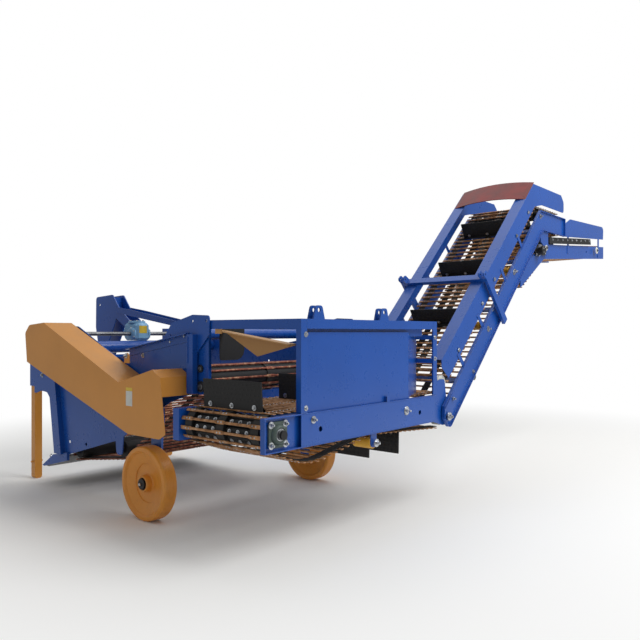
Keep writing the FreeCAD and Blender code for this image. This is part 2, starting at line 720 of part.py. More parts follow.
def driveline():
    case = plate("gear_case", "XZ", [
        ("-145", "toolbar_z + toolbar_r"), ("35", "toolbar_z + toolbar_r"),
        ("35", "toolbar_z + toolbar_r + 185"), ("-145", "toolbar_z + toolbar_r + 185"),
    ], "shaft_y - 70", "140", rounds=[(0, "25"), (1, "25"), (2, "20"), (3, "20")])
    neck = rod("gear_neck", "40", "30", "-5", "shaft_y + 70", "shaft_z", "Y")
    stub = rod("input_stub", "17.5", "90", "-5", "shaft_y + 100", "shaft_z", "Y")
    node("gearbox", fuse("gearbox_case", case, neck, stub))
    left = rod("shaft_left", "shaft_r", "guard_out - 40 - 145", "-guard_out + 40", "shaft_y", "shaft_z", "X")
    right = rod("shaft_right", "shaft_r", "half_width + 10 - 35", "35", "shaft_y", "shaft_z", "X")
    sprocket = rod("shaft_sprocket", "sprocket_r", "14", "-half_width - 70", "shaft_y", "shaft_z", "X")
    node("drive_shaft", group("drive_shafts", fuse("shaft_with_sprocket", left, sprocket), right))


def chain_guard():
    points = [
        ("shaft_y + 203", "shaft_z + 7"),
        ("shaft_y + 135", "shaft_z + 71"),
        ("shaft_y - 97", "shaft_z + 87"),
        ("web_drive_y + 377", "web_drive_z - 21"),
        ("web_drive_y - 3", "web_drive_z + 77"),
        ("web_drive_y - 87", "web_drive_z + 31"),
        ("web_drive_y - 140", "web_drive_z - 321"),
        ("web_drive_y - 75", "web_drive_z - 356"),
        ("web_drive_y + 264", "web_drive_z - 355"),
        ("shaft_y + 174", "shaft_z - 221"),
    ]
    body = plate("guard_shell", "YZ", points, "-guard_out", "guard_out - half_width - 15",
                 rounds=[(0, "30"), (1, "60"), (6, "25"), (7, "25"), (8, "60")])
    doc.recompute()
    inner = max(body.Shape.Faces, key=lambda face: face.CenterOfMass.x)
    number = [n for n, face in enumerate(body.Shape.Faces, start=1) if face.isSame(inner)][0]
    before = body.Tip
    shell = body.newObject("PartDesign::Thickness", "guard_thickness")
    shell.Base = (before, ["Face%d" % number])
    bind(shell, "Value", "sheet_t - 1")
    shell.Reversed = True
    body.Tip = shell
    doc.recompute()
    rear_gap = box("guard_rear_gap", "guard_out - half_width", "160", "300", "-guard_out + sheet_t - 1",
                   "web_drive_y - 175", "web_drive_z - 390")
    low_gap = box("guard_low_gap", "guard_out - half_width", "900", "60", "-guard_out + sheet_t - 1",
                  "web_drive_y - 20", "web_drive_z - 390")
    # Two lugs under its top wall seat on the side plate.
    front_lug = box("guard_lug_front", "30", "60", "62", "-half_width - 30", "shaft_y - 60", "shaft_z + 20")
    rear_lug = box("guard_lug_rear", "30", "50", "56", "-half_width - 30", "web_drive_y + 20", "web_drive_z + 4")
    node("chain_guard", fuse("guard_with_lugs", cut("guard_with_gaps", body, rear_gap, low_gap), front_lug, rear_lug))


def shovel():
    tilt = "shovel_tilt"
    points = [
        ("tip_y", "tip_z"),
        ("tip_y - shovel_len * cos(%s)" % tilt, "tip_z + shovel_len * sin(%s)" % tilt),
        ("tip_y - shovel_len * cos(%s) - shovel_t * sin(%s)" % (tilt, tilt),
         "tip_z + shovel_len * sin(%s) - shovel_t * cos(%s)" % (tilt, tilt)),
        ("tip_y - 60", "tip_z - shovel_t + 12"),
    ]
    blade = plate("shovel_blade", "YZ", points, "-half_width + side_t", "2 * (half_width - side_t)")
    node("digging_shovel", blade)


# ---------------------------------------------------------------- the rod web
def primary_web():
    wheels = wheels_of(
        ("web_front_y", "web_front_z", "web_front_r", "1"),
        ("web_drive_y", "web_drive_z", "web_drive_r", "1"),
        ("web_low_y", "web_low_z", "web_low_r", "1"),
    )
    half = worth("half_width - side_t - web_gap")
    straps = [60, half - size("band_w") / 2, 2 * half - 60 - size("band_w")]
    web = rod_belt(wheels, True, -half, 2 * half, straps)
    web.rotate(Vector(0, 0, 0), Vector(0, 0, 1), 90)
    node("primary_web", shaped("web_loop", web))
    rollers = []
    for where in ("front", "drive", "low"):
        spot = ("web_%s_y" % where, "web_%s_z" % where)
        drum = rod("web_%s_drum" % where, "web_%s_r - rod_t / 2 - band_t - 1" % where,
                   "2 * (half_width - side_t - 30)", "-half_width + side_t + 30", spot[0], spot[1], "X")
        shaft = rod("web_%s_shaft" % where, "25", "2 * (half_width - side_t)",
                    "-half_width + side_t", spot[0], spot[1], "X")
        rollers.append(fuse("web_%s_roller" % where, drum, shaft))
    node("web_rollers", group("web_roller_set", *rollers))


# ---------------------------------------------------------------- gauge wheels
def gauge_wheels():
    half = "wheel_w / 2"
    side = [
        ("%s" % half, "axle_r + run_gap"),
        ("%s" % half, "42"),
        ("%s - 30" % half, "50"),
        ("%s - 30" % half, "wheel_r * 0.62"),
        ("%s" % half, "wheel_r * 0.9"),
        ("%s" % half, "wheel_r - 10"),
        ("%s - 10" % half, "wheel_r"),
    ]
    profile = [("-(%s)" % x, r) for x, r in side] + side[::-1]
    wheel = place(turned("gauge_wheel", profile), "-wheel_x", "wheel_y", "wheel_r")
    mirror_node("gauge_wheel_right", wheel)
    node("gauge_wheel_left", copy_to("gauge_wheel_here", wheel))
    inner = "(wheel_x - wheel_w / 2 - 7)"
    arm = plate("arm_plate", "YZ", [
        ("wheel_y - 45", "wheel_r - 45"), ("wheel_y + 45", "wheel_r - 45"),
        ("wheel_y + 60", "web_low_z + 190"), ("wheel_y + 60", "web_low_z + 360"),
        ("wheel_y - 60", "web_low_z + 360"), ("wheel_y - 60", "web_low_z + 190"),
    ], "-%s" % inner, "arm_t", rounds=[(0, "44"), (1, "44"), (3, "20"), (4, "20")])
    packer = box("arm_packer", "%s - arm_t - half_width" % inner, "110", "150",
                 "-%s + arm_t" % inner, "wheel_y - 55", "web_low_z + 200")
    axle = rod("gauge_axle", "axle_r", "wheel_w + 7 + 9", "-%s - wheel_w - 7 - 9" % inner, "wheel_y", "wheel_r", "X")
    washer = rod("gauge_washer", "30", "7", "-%s - wheel_w - 7 - 9" % inner, "wheel_y", "wheel_r", "X")
    whole = fuse("gauge_arm", arm, packer, axle, washer)
    mirror_node("gauge_arm_right", whole)
    node("gauge_arm_left", copy_to("gauge_arm_here", whole))


# ---------------------------------------------------------------- the conveyor's box
def corner_post(name, x, y, x_way, y_way):
    """An angle post: its corner at x, y, its legs towards x_way and y_way."""
    points = [("0", "0"), ("post", "0"), ("post", "post_t"), ("post_t", "post_t"), ("post_t", "post_deep"), ("0", "post_deep")]
    points = [("%d * %s" % (x_way, px), "%d * %s" % (y_way, py)) for px, py in points]
    points = [tuple("0" if text.endswith("* 0") else text for text in point) for point in points]
    post = plate(name, "XY", points, "beam_low + beam_high", "box_top - beam_low - beam_high")
    return place(post, x, y, "0")


def box_frame():
    posts = [
        corner_post("post_rear_left", "-half_width", "0", 1, 1),
        corner_post("post_rear_right", "half_width", "0", -1, 1),
        corner_post("post_front_left", "-half_width", "box_depth", 1, -1),
        corner_post("post_front_right", "half_width", "box_depth", -1, -1),
    ]
    rails = []
    low = "box_top - rail_high"
    for name, start, way in (("rear", "0", 1), ("front", "box_depth", -1)):
        face = box("rail_%s_face" % name, "2 * half_width", "post_t", "rail_high", "-half_width",
                   start if way > 0 else "box_depth - post_t", low)
        ledge = box("rail_%s_ledge" % name, "2 * half_width", "post", "post_t", "-half_width",
                    start if way > 0 else "box_depth - post", "box_top - post_t")
        rails += [face, ledge]
    for name, start, way in (("left", "-half_width", 1), ("right", "half_width", -1)):
        face = box("rail_%s_face" % name, "post_t", "box_depth", "rail_high",
                   start if way > 0 else "half_width - post_t", "0", low)
        ledge = box("rail_%s_ledge" % name, "post", "box_depth", "post_t",
                    start if way > 0 else "half_width - post", "0", "box_top - post_t")
        rails += [face, ledge]
    bar = box("curtain_bar", "post + 210 - post_t", "6", "36", "-half_width + post_t", "box_depth - 84", low)
    node("box_frame", fuse("box_weldment", *posts, *rails, bar, *lifting_lugs()))


def lifting_lugs():
    """Two clevises on the rear rail."""
    cheeks = []
    for at in ("-575", "73"):
        for side, start in (("near", "0"), ("far", "post - 10")):
            points = [("%s - 50" % at, "box_top"), ("%s + 50" % at, "box_top"),
                      ("%s + 27" % at, "box_top + 78"), ("%s - 27" % at, "box_top + 78")]
            cheeks.append(plate("lug_%s_%s" % (side, "left" if at == "-575" else "right"), "XZ", points, start, "10",
                                [(at, "box_top + 52", "13")], [(2, "20"), (3, "20")]))
    return cheeks


def conveyor_beam(name, start, way, far_edge, holes):
    """A channel on its side: the web faces the belt and the flanges stand outwards."""
    length = "beam_left + 700"
    web_start = start
    web = plate(name + "_web", "XZ", [
        ("-beam_left", "beam_low"), ("700", "beam_low"), ("700", "beam_low + beam_high"), ("-beam_left", "beam_low + beam_high"),
    ], web_start, "beam_t", holes)
    parts = [web]
    for z in ("beam_low", "beam_low + beam_high - beam_t"):
        flange_start = "0" if way < 0 else "%s + beam_t" % start
        flange_width = far_edge
        parts.append(box(name + "_flange", length, flange_width, "beam_t", "-beam_left", flange_start, z))
    parts.append(box(name + "_end", "beam_t", far_edge, "beam_high", "-beam_left",
                     "0" if way < 0 else "%s + beam_t" % start, "beam_low"))
    return fuse(name + "_channel", *parts)


def pivot_plate(name, start):
    """The plate at the box's right end that carries the elevator's shaft and the hold-down disc."""
    points = [
        ("700", "beam_low"), ("pivot_x - 40", "pivot_z - 62"), ("pivot_x + 30", "pivot_z - 62"),
        ("pivot_x + 60", "pivot_z - 20"), ("pivot_x + 60", "pivot_z + 40"),
        ("pivot_x + 10", "beam_low + beam_high - 20"), (DISC_X + " + 32", DISC_Z), (DISC_X + " + 32", DISC_Z + " + 32"),
        (DISC_X + " - 32", DISC_Z + " + 32"), ("half_width + 2", "beam_low + beam_high + 90"),
        ("half_width + 2", "beam_low + beam_high"), ("700", "beam_low + beam_high"),
    ]
    holes = [("pivot_x", "pivot_z", "pin_r")]
    return plate(name, "XZ", points, start, "beam_t", holes, [(3, "20"), (4, "40"), (7, "31"), (8, "31")])


def idler_bracket(name, start):
    return plate(name, "XZ", [
        ("-idler_x - 30", "idler_z - 30"), ("-idler_x + 30", "idler_z - 30"),
        ("-idler_x + 30", "beam_low + 60"), ("-idler_x - 30", "beam_low + 60"),
    ], start, "8", rounds=[(0, "25"), (1, "25")])


def conveyor_frame():
    holes = [("-640", "beam_low + 70", "12"), ("510", "beam_low + 95", "12"), ("-end_x", "end_z", "26")]
    rear = conveyor_beam("rear_beam", "beam_flange", -1, "beam_flange", holes)
    front = conveyor_beam("front_beam", FRONT_WEB, 1, "%s - %s - beam_t" % (CONVEYOR_WIDTH, FRONT_WEB), holes)
    ledge = box("front_sheet", "2 * (half_width - post_t)", "sheet_t", "70",
                "-half_width + post_t", "%s + beam_t" % FRONT_WEB, "beam_low + beam_high - 6")
    rear_lug = idler_bracket("idler_bracket_near", "beam_flange - 8")
    front_lug = idler_bracket("idler_bracket_far", "%s + beam_t" % FRONT_WEB)
    node("rear_beam", fuse("rear_beam_set", rear, pivot_plate("pivot_rear", "beam_flange"), rear_lug))
    node("front_beam", fuse("front_beam_set", front, pivot_plate("pivot_front", FRONT_WEB), front_lug, ledge))
    shaft = (worth("%s - elev_flange" % NEAR_WEB), worth("%s + beam_t + 2 * elev_flange - %s" % (FAR_WEB, NEAR_WEB)))
    wheels = strap_wheels((size("pivot_x"), size("pivot_z")), worth("pivot_r - rod_t / 2 - band_t - 1"), shaft,
                          worth(ROD_START), three_straps(), size("pin_r"))
    node("pivot_shaft", shaped("pivot_shaft_and_wheels", wheels))


def panels():
    inner = "beam_flange + beam_t"
    points = [
        ("-half_width + post_t", inner), ("411", inner), ("560", "%s + 86" % inner),
        ("557", "%s + 86 + sheet_t" % inner), ("409", "%s + sheet_t" % inner), ("-half_width + post_t", "%s + sheet_t" % inner),
    ]
    panel = plate("rear_sheet", "XY", points, "beam_low + beam_high", "box_top - rail_high - beam_low - beam_high")
    straps = []
    for z in ("box_top - 130", "box_top - 300"):
        straps.append(plate("panel_strap", "XY", [
            ("half_width - post_t", "post_t"), ("half_width - post_t", "post_t + 8"),
            ("560", "%s + 86 + sheet_t" % inner), ("556", "%s + 80" % inner),
        ], z, "32"))
    belt_way = box("panel_belt_way", "170", "100", "end_z + end_r - beam_low - beam_high + 19", "402",
                   "%s + sheet_t + 0.5" % inner, "beam_low + beam_high - 5")
    node("rear_panel", cut("rear_panel_set", fuse("rear_panel_and_straps", panel, *straps), belt_way))
    flap = plate("curtain_sheet", "XZ", [
        ("-half_width + post", "box_top - rail_high - 200"), ("-half_width + post + 210", "box_top - rail_high - 200"),
        ("-half_width + post + 210", "box_top - rail_high + 36"), ("-half_width + post", "box_top - rail_high + 36"),
    ], "box_depth - 90", "6", rounds=[(1, "70"), (0, "20")])
    node("rubber_curtain", flap)
    sheet_web = plate("deflector_web", "YZ", [
        ("post + 60", "box_top - 150"), ("box_depth * 0.52", "box_top - 224"),
        ("box_depth - 94", "box_top - rail_high - 14"), ("box_depth - 94", "box_top - rail_high - 6"),
        ("post + 60", "box_top - 144"),
    ], "-half_width + post + 30", "4")
    ledge = plate("deflector_ledge", "YZ", [
        ("post + 60", "box_top - 150"), ("box_depth - 94", "box_top - rail_high - 12"),
        ("box_depth - 94", "box_top - rail_high - 6"), ("post + 60", "box_top - 144"),
    ], "-half_width + post - 44", "78")
    hanger = box("deflector_hanger", "6", "60", "60", "-half_width + post - 44", "box_depth - 154",
                 "box_top - rail_high - 30")
    node("deflector", fuse("deflector_sheet", sheet_web, ledge, hanger))


# ---------------------------------------------------------------- the cross conveyor's belt
def cross_belt():
    wheels = wheels_of(
        (DISC_X + " + 41", "end_z + end_r + 11", "0", "1"),
        (DISC_X, DISC_Z, "disc_r + rod_t / 2", "-1"),
        ("-end_x", "end_z", "end_r", "1"),
        ("-560", "515 + 500", "500", "1"),
        ("-idler_x", "idler_z", "idler_r + rod_t / 2 + band_t + 1", "-1"),
        ("845", "pivot_z - pivot_r", "0", "1"),
    )
    runs = tangent_path(wheels)
    start = worth(DISC_X + " + 41")
    flights = [start - 396, start + 252, start + 893]
    far = total_length(runs)
    flights += [far - (845 - 428), far - (845 - 105)]
    belt = rod_belt(wheels, False, worth(ROD_START), size("rod_len"), three_straps())
    node("cross_belt", shaped("cross_belt_loop", belt))
    blades = belt_flights(wheels, worth(ROD_START), size("rod_len"), flights)
    node("cross_flights", shaped("cross_flight_set", blades))
    end = strap_wheels((-size("end_x"), size("end_z")), worth("end_r - rod_t / 2 - band_t - 1"),
                       (-30, worth("%s + 60" % CONVEYOR_WIDTH)), worth(ROD_START), three_straps(), 25)
    rollers = [shaped("end_roller", end)]
    for at in ("-350", "250"):
        rollers.append(rod("carrier_roller", "28", "rod_len + 2 * rod_gap", at, "beam_flange + beam_t",
                           "end_z + end_r - rod_t / 2 - band_t - 1 - 28", "Y"))
    node("cross_rollers", group("cross_roller_set", *rollers))
    idlers = []
    for name, start in (("near", "beam_flange"), ("far", "%s - 130" % FRONT_WEB)):
        idlers.append(rod("return_roller_" + name, "idler_r", "130 + beam_t", "-idler_x", start, "idler_z", "Y"))
    node("return_rollers", group("return_roller_set", *idlers))


def flange_bearing(name, x, z, face, way):
    """A square four-bolt flange bearing on a face, standing out along Y by way."""
    half = "bearing / 2"
    base = plate(name + "_flange", "XZ", [
        ("%s - %s" % (x, half), "%s - %s" % (z, half)), ("%s + %s" % (x, half), "%s - %s" % (z, half)),
        ("%s + %s" % (x, half), "%s + %s" % (z, half)), ("%s - %s" % (x, half), "%s + %s" % (z, half)),
    ], face if way > 0 else "%s - 14" % face, "14", rounds=[(0, "20"), (1, "20"), (2, "20"), (3, "20")])
    hub = rod(name + "_hub", "50", "30", x, "%s + 14" % face if way > 0 else "%s - 44" % face, z, "Y")
    bore = rod(name + "_bore", "25.02", "80", x, "%s - 10" % face if way > 0 else "%s - 60" % face, z, "Y")
    return cut(name, fuse(name + "_body", base, hub), bore)


def bearings():
    near = flange_bearing("bearing_near", "-end_x", "end_z", "beam_flange", -1)
    far = flange_bearing("bearing_far", "-end_x", "end_z", "(%s + beam_t)" % FRONT_WEB, 1)
    node("end_bearings", group("end_bearing_pair", near, far))


def hold_down_wheels():
    """Two discs hold the belt down where it turns up into the elevator."""
    discs = []
    for name, start, pin_start in (("near", ROD_START, "beam_flange + beam_t"), ("far", "%s - 22" % ROD_END, "%s - 22" % ROD_END)):
        disc = rod("disc_" + name, "disc_r", "22", DISC_X, start, DISC_Z, "Y")
        pin = rod("disc_pin_" + name, "12", "22 + rod_gap", DISC_X, pin_start, DISC_Z, "Y")
        discs.append(fuse("disc_and_pin_" + name, disc, pin))
    node("hold_down_wheels", group("hold_down_pair", *discs))


# ---------------------------------------------------------------- the elevator
def nose_point(along, up):
    """A point of the level nose, drawn in the sloping elevator's own frame."""
    u = "knee_u + (%s) * cos(lean) + (%s) * sin(lean)" % (along, up)
    n = "knee_n - (%s) * sin(lean) + (%s) * cos(lean)" % (along, up)
    return u, n


def beam_outline(inset):
    """The side beam's outline: up the slope, over the knee, and level to the nose."""
    half = "(side_half - %s)" % inset
    return [
        ("-55 + %s" % inset, "knee_n - %s" % half),
        ("knee_u - %s * tan(lean / 2)" % half, "knee_n - %s" % half),
        nose_point("nose_len - %s" % inset, "-%s" % half),
        nose_point("nose_len - %s" % inset, half),
        ("knee_u + %s * tan(lean / 2)" % half, "knee_n + %s" % half),
        ("10 + %s / 2" % inset, "knee_n + %s" % half),
        ("-55 + %s" % inset, "knee_n + 25"),
    ]


def side_beam(name, web_start, flange_start, boss_start):
    """A channel with its web towards the belt, a flange all round standing outwards, and a plate at the pivot."""
    web = plate(name + "_web", "XZ", beam_outline("0"), web_start, "beam_t",
                [("0", "0", "pin_r + run_gap")], [(0, "40")])
    rim = cut(name + "_rim",
              plate(name + "_rim_outer", "XZ", beam_outline("0"), flange_start, "elev_flange", rounds=[(0, "40")]),
              plate(name + "_rim_inner", "XZ", beam_outline("elev_t"), "%s - 1" % flange_start, "elev_flange + 2",
                    rounds=[(0, "35")]))
    boss = plate(name + "_boss", "XZ", [
        ("-38", "-38"), ("40", "-38"), ("178", "5"), ("178", "75"), ("-10", "62"), ("-38", "20"),
    ], boss_start, "8", [("0", "0", "pin_r + run_gap")], [(0, "30"), (2, "20"), (3, "20")])
    return fuse(name, web, rim, boss)


# Where a board's sloping top edge ends: level with the top of its nose.
BOARD_PEAK = nose_point(
    "(((side_half + 60 + board_high) * cos(lean) - side_half - slot_high - board_high) / sin(lean))",
    "(side_half + 60 + board_high)",
)


def board_outline():
    return [
        ("215", "knee_n + side_half + slot_high"),
        ("knee_u - 20", "knee_n + side_half + slot_high"),
        nose_point("35", "side_half + 60"),
        nose_point("nose_len", "side_half + 60"),
        nose_point("nose_len", "side_half + 60 + board_high - 60"),
        nose_point("nose_len - 70", "side_half + 60 + board_high"),
        BOARD_PEAK,
        ("235", "knee_n + side_half + slot_high + board_high"),
        ("200", "knee_n + side_half + slot_high + board_high - 42"),
    ]


def elevator_frame():
    near = side_beam("beam_near", NEAR_WEB, "%s - elev_flange" % NEAR_WEB, "%s - 8" % NEAR_WEB)
    far = side_beam("beam_far", FAR_WEB, "%s + beam_t" % FAR_WEB, "%s + beam_t" % FAR_WEB)
    elevator_node("elevator_beam_near", near)
    elevator_node("elevator_beam_far", far)
    boards = []
    for name, start, lip in (("near", NEAR_WEB, "%s + sheet_t" % NEAR_WEB), ("far", "%s + 2" % FAR_WEB, "%s + 2 - board_lip" % FAR_WEB)):
        web = plate("board_%s_sheet" % name, "XZ", board_outline(), start, "sheet_t", rounds=[(3, "30"), (4, "50")])
        top = plate("board_%s_lip" % name, "XZ", [
            ("240", "knee_n + side_half + slot_high + board_high - 4"),
            ("240", "knee_n + side_half + slot_high + board_high"),
            BOARD_PEAK,
            (BOARD_PEAK[0], BOARD_PEAK[1] + " - 4"),
        ], lip, "board_lip")
        tabs = []
        for at in ("420", "860", "1440", "1900"):
            tabs.append(box("board_%s_tab" % name, "36", "5", "slot_high + 35", at,
                            "%s - 5" % start if name == "near" else "%s + sheet_t" % start,
                            "knee_n + side_half"))
        boards.append(fuse("board_" + name, web, top, *tabs))
    elevator_node("elevator_board_near", boards[0])
    elevator_node("elevator_board_far", boards[1])

    wide = "%s + beam_t - %s + 2 * elev_flange + 2 * portal_t" % (FAR_WEB, NEAR_WEB)
    start = "%s - elev_flange - portal_t" % NEAR_WEB
    top_n = "knee_n + side_half + slot_high + board_high + 25"
    parts = [
        box("portal_near", "60", "portal_t", "%s + 110" % top_n, "portal_u - 30", start, "-110"),
        box("portal_far", "60", "portal_t", "%s + 110" % top_n, "portal_u - 30",
            "%s + beam_t + elev_flange" % FAR_WEB, "-110"),
        box("portal_face", "60", wide, "6", "portal_u - 30", start, top_n),
        box("portal_back", "6", wide, "30", "portal_u - 30", start, "%s - 24" % top_n),
    ]
    for side, at in (("near", start), ("far", "%s + beam_t + elev_flange + portal_t - 10" % FAR_WEB)):
        for number, inward in enumerate(("0", "45")):
            y = "%s + %s" % (at, inward) if side == "near" else "%s - %s" % (at, inward)
            parts.append(plate("portal_ear_%s_%d" % (side, number), "XZ", [
                ("portal_u - 30", "%s + 6" % top_n), ("portal_u + 30", "%s + 6" % top_n),
                ("portal_u + 10", "%s + 66" % top_n), ("portal_u - 50", "%s + 66" % top_n),
            ], y, "10", [("portal_u - 18", "%s + 42" % top_n, "9")], [(2, "18"), (3, "18")]))
    elevator_node("portal_frame", fuse("portal", *parts))

    ties = []
    inner = "(%s + beam_t)" % NEAR_WEB
    for at in ("330", "1155", "1800", "2250"):
        ties.append(box("tie_bar", "40", "%s - %s" % (FAR_WEB, inner), "20", at, inner, "knee_n - 10"))
    elevator_node("elevator_ties", group("tie_bars", *ties))
    elevator_hood()
    return_guides()


def elevator_hood():
    """A rubber sheet, crowned across the elevator, that lies on the lips of both boards at their peak."""
    top = "(knee_n + side_half + slot_high + board_high)"
    middle = "(%s + %s + sheet_t) / 2" % (NEAR_WEB, FAR_WEB)
    half = "(%s - %s) / 2" % (FAR_WEB, NEAR_WEB)
    centre = "%s - sqrt((hood_r + hood_t) * (hood_r + hood_t) - %s * %s)" % (top, half, half)
    outer = rod("hood_outer", "hood_r + hood_t", "hood_len", "hood_u", middle, centre, "X")
    inner = rod("hood_inner", "hood_r", "hood_len + 20", "hood_u - 10", middle, centre, "X")
    below = box("hood_below", "hood_len + 20", "2 * hood_r + 200", "2 * hood_r + 200", "hood_u - 10",
                "%s - hood_r - 100" % middle, "%s - 2 * hood_r - 200" % top)
    elevator_node("rubber_hood", cut("hood_sheet", outer, inner, below))


def return_guides():
    """A short roller under each edge of the belt's return run, on a bracket inside each side beam."""
    roller_n = "(-pivot_r - rod_t / 2 - guide_r - 0.5)"
    guides = []
    for name, face, start in (("near", "%s + beam_t" % NEAR_WEB, ROD_START), ("far", "%s - 6" % FAR_WEB, "%s - 70" % ROD_END)):
        bracket = plate("guide_bracket_" + name, "XZ", [
            ("guide_u - 24", "%s - 24" % roller_n), ("guide_u + 24", "%s - 24" % roller_n),
            ("guide_u + 36", "-30"), ("guide_u - 36", "-30"),
        ], face, "6", rounds=[(0, "22"), (1, "22")])
        roller = rod("guide_roller_" + name, "guide_r", "70", "guide_u", start, roller_n, "Y")
        pin_start = face if name == "near" else "%s - 1" % ROD_END
        pin = rod("guide_pin_" + name, "10", "%s - %s - beam_t + 1" % (ROD_START, NEAR_WEB) if name == "near"
                  else "%s - %s + 1" % (FAR_WEB, ROD_END), "guide_u", pin_start, roller_n, "Y")
        guides.append(fuse("guide_" + name, bracket, roller, pin))
    elevator_node("elevator_idlers", group("guide_pair", *guides))


def elevator_belt():
    lean = math.radians(size("lean"))
    px, pz = size("pivot_x"), size("pivot_z")
    along = (math.cos(lean), math.sin(lean))
    square = (-math.sin(lean), math.cos(lean))

    def spot(u, n):
        return px + u * along[0] + n * square[0], pz + u * along[1] + n * square[1]

    knee_x, knee_z = spot(size("knee_u"), size("knee_n"))
    up, down = 130, 90
    end = (knee_x + size("nose_len") - 130, knee_z + (up - down) / 2)
    bisect = math.radians(90) + lean / 2
    low = (down + 60) / math.cos(lean / 2)
    low_bend = (knee_x - low * math.cos(bisect), knee_z - low * math.sin(bisect))
    start = spot(165, size("knee_n") + up)
    bend_r = 70
    rise = (up - bend_r) / math.cos(lean / 2)
    high_bend = (knee_x + rise * math.cos(bisect), knee_z + rise * math.sin(bisect))
    wheels = [
        (start[0], start[1], 0, -1),
        (high_bend[0], high_bend[1], bend_r, -1),
        (end[0], end[1], (up + down) / 2, -1),
        (low_bend[0], low_bend[1], 60, 1),
        (px, pz, size("pivot_r"), -1),
        (px - 5, pz - size("pivot_r") - 0.2, 0, -1),
    ]
    runs = tangent_path(wheels[:-1])
    flights = [720, 1310, 1900, total_length(runs[:4]) - 100]
    belt = rod_belt(wheels[:-1], False, worth(ROD_START), size("rod_len"), three_straps(), outside=1)
    node("elevator_belt", shaped("elevator_belt_loop", belt))
    blades = belt_flights(wheels[:-1], worth(ROD_START), size("rod_len"), flights, outside=1)
    node("elevator_flights", shaped("elevator_flight_set", blades))
    inner = worth("%s + beam_t" % NEAR_WEB)
    length = worth("%s - %s - beam_t" % (FAR_WEB, NEAR_WEB))
    inset = size("rod_t") / 2 + size("band_t") + 1
    # The lower roller's shaft ends on the hangers of the discharge head.
    rollers = [
        strap_wheels(at, radius, (inner + inwards, length - 2 * inwards), worth(ROD_START), three_straps(), 22)
        for at, radius, inwards in ((high_bend, bend_r - inset, 0), (end, (up + down) / 2 - inset, 0),
                                    (low_bend, 60 - size("rod_t"), 10))
    ]
    node("elevator_rollers", shaped("elevator_roller_set", Part.makeCompound(rollers)))


# ---------------------------------------------------------------- the discharge head
def head_outline(low, high):
    """The head's dog-leg: up from its tail, then nearly level to its end."""
    return [
        ("head_tail_x - 40", "head_tail_z - %s" % low),
        ("head_knee_x + 30", "head_knee_z - %s" % low),
        ("head_end_x + head_lip", "head_end_z - %s" % low),
        ("head_end_x + head_lip", "head_end_z + %s" % high),
        ("head_knee_x - 25", "head_knee_z + %s" % high),
        ("head_tail_x - 40", "head_tail_z + %s" % high),
    ]


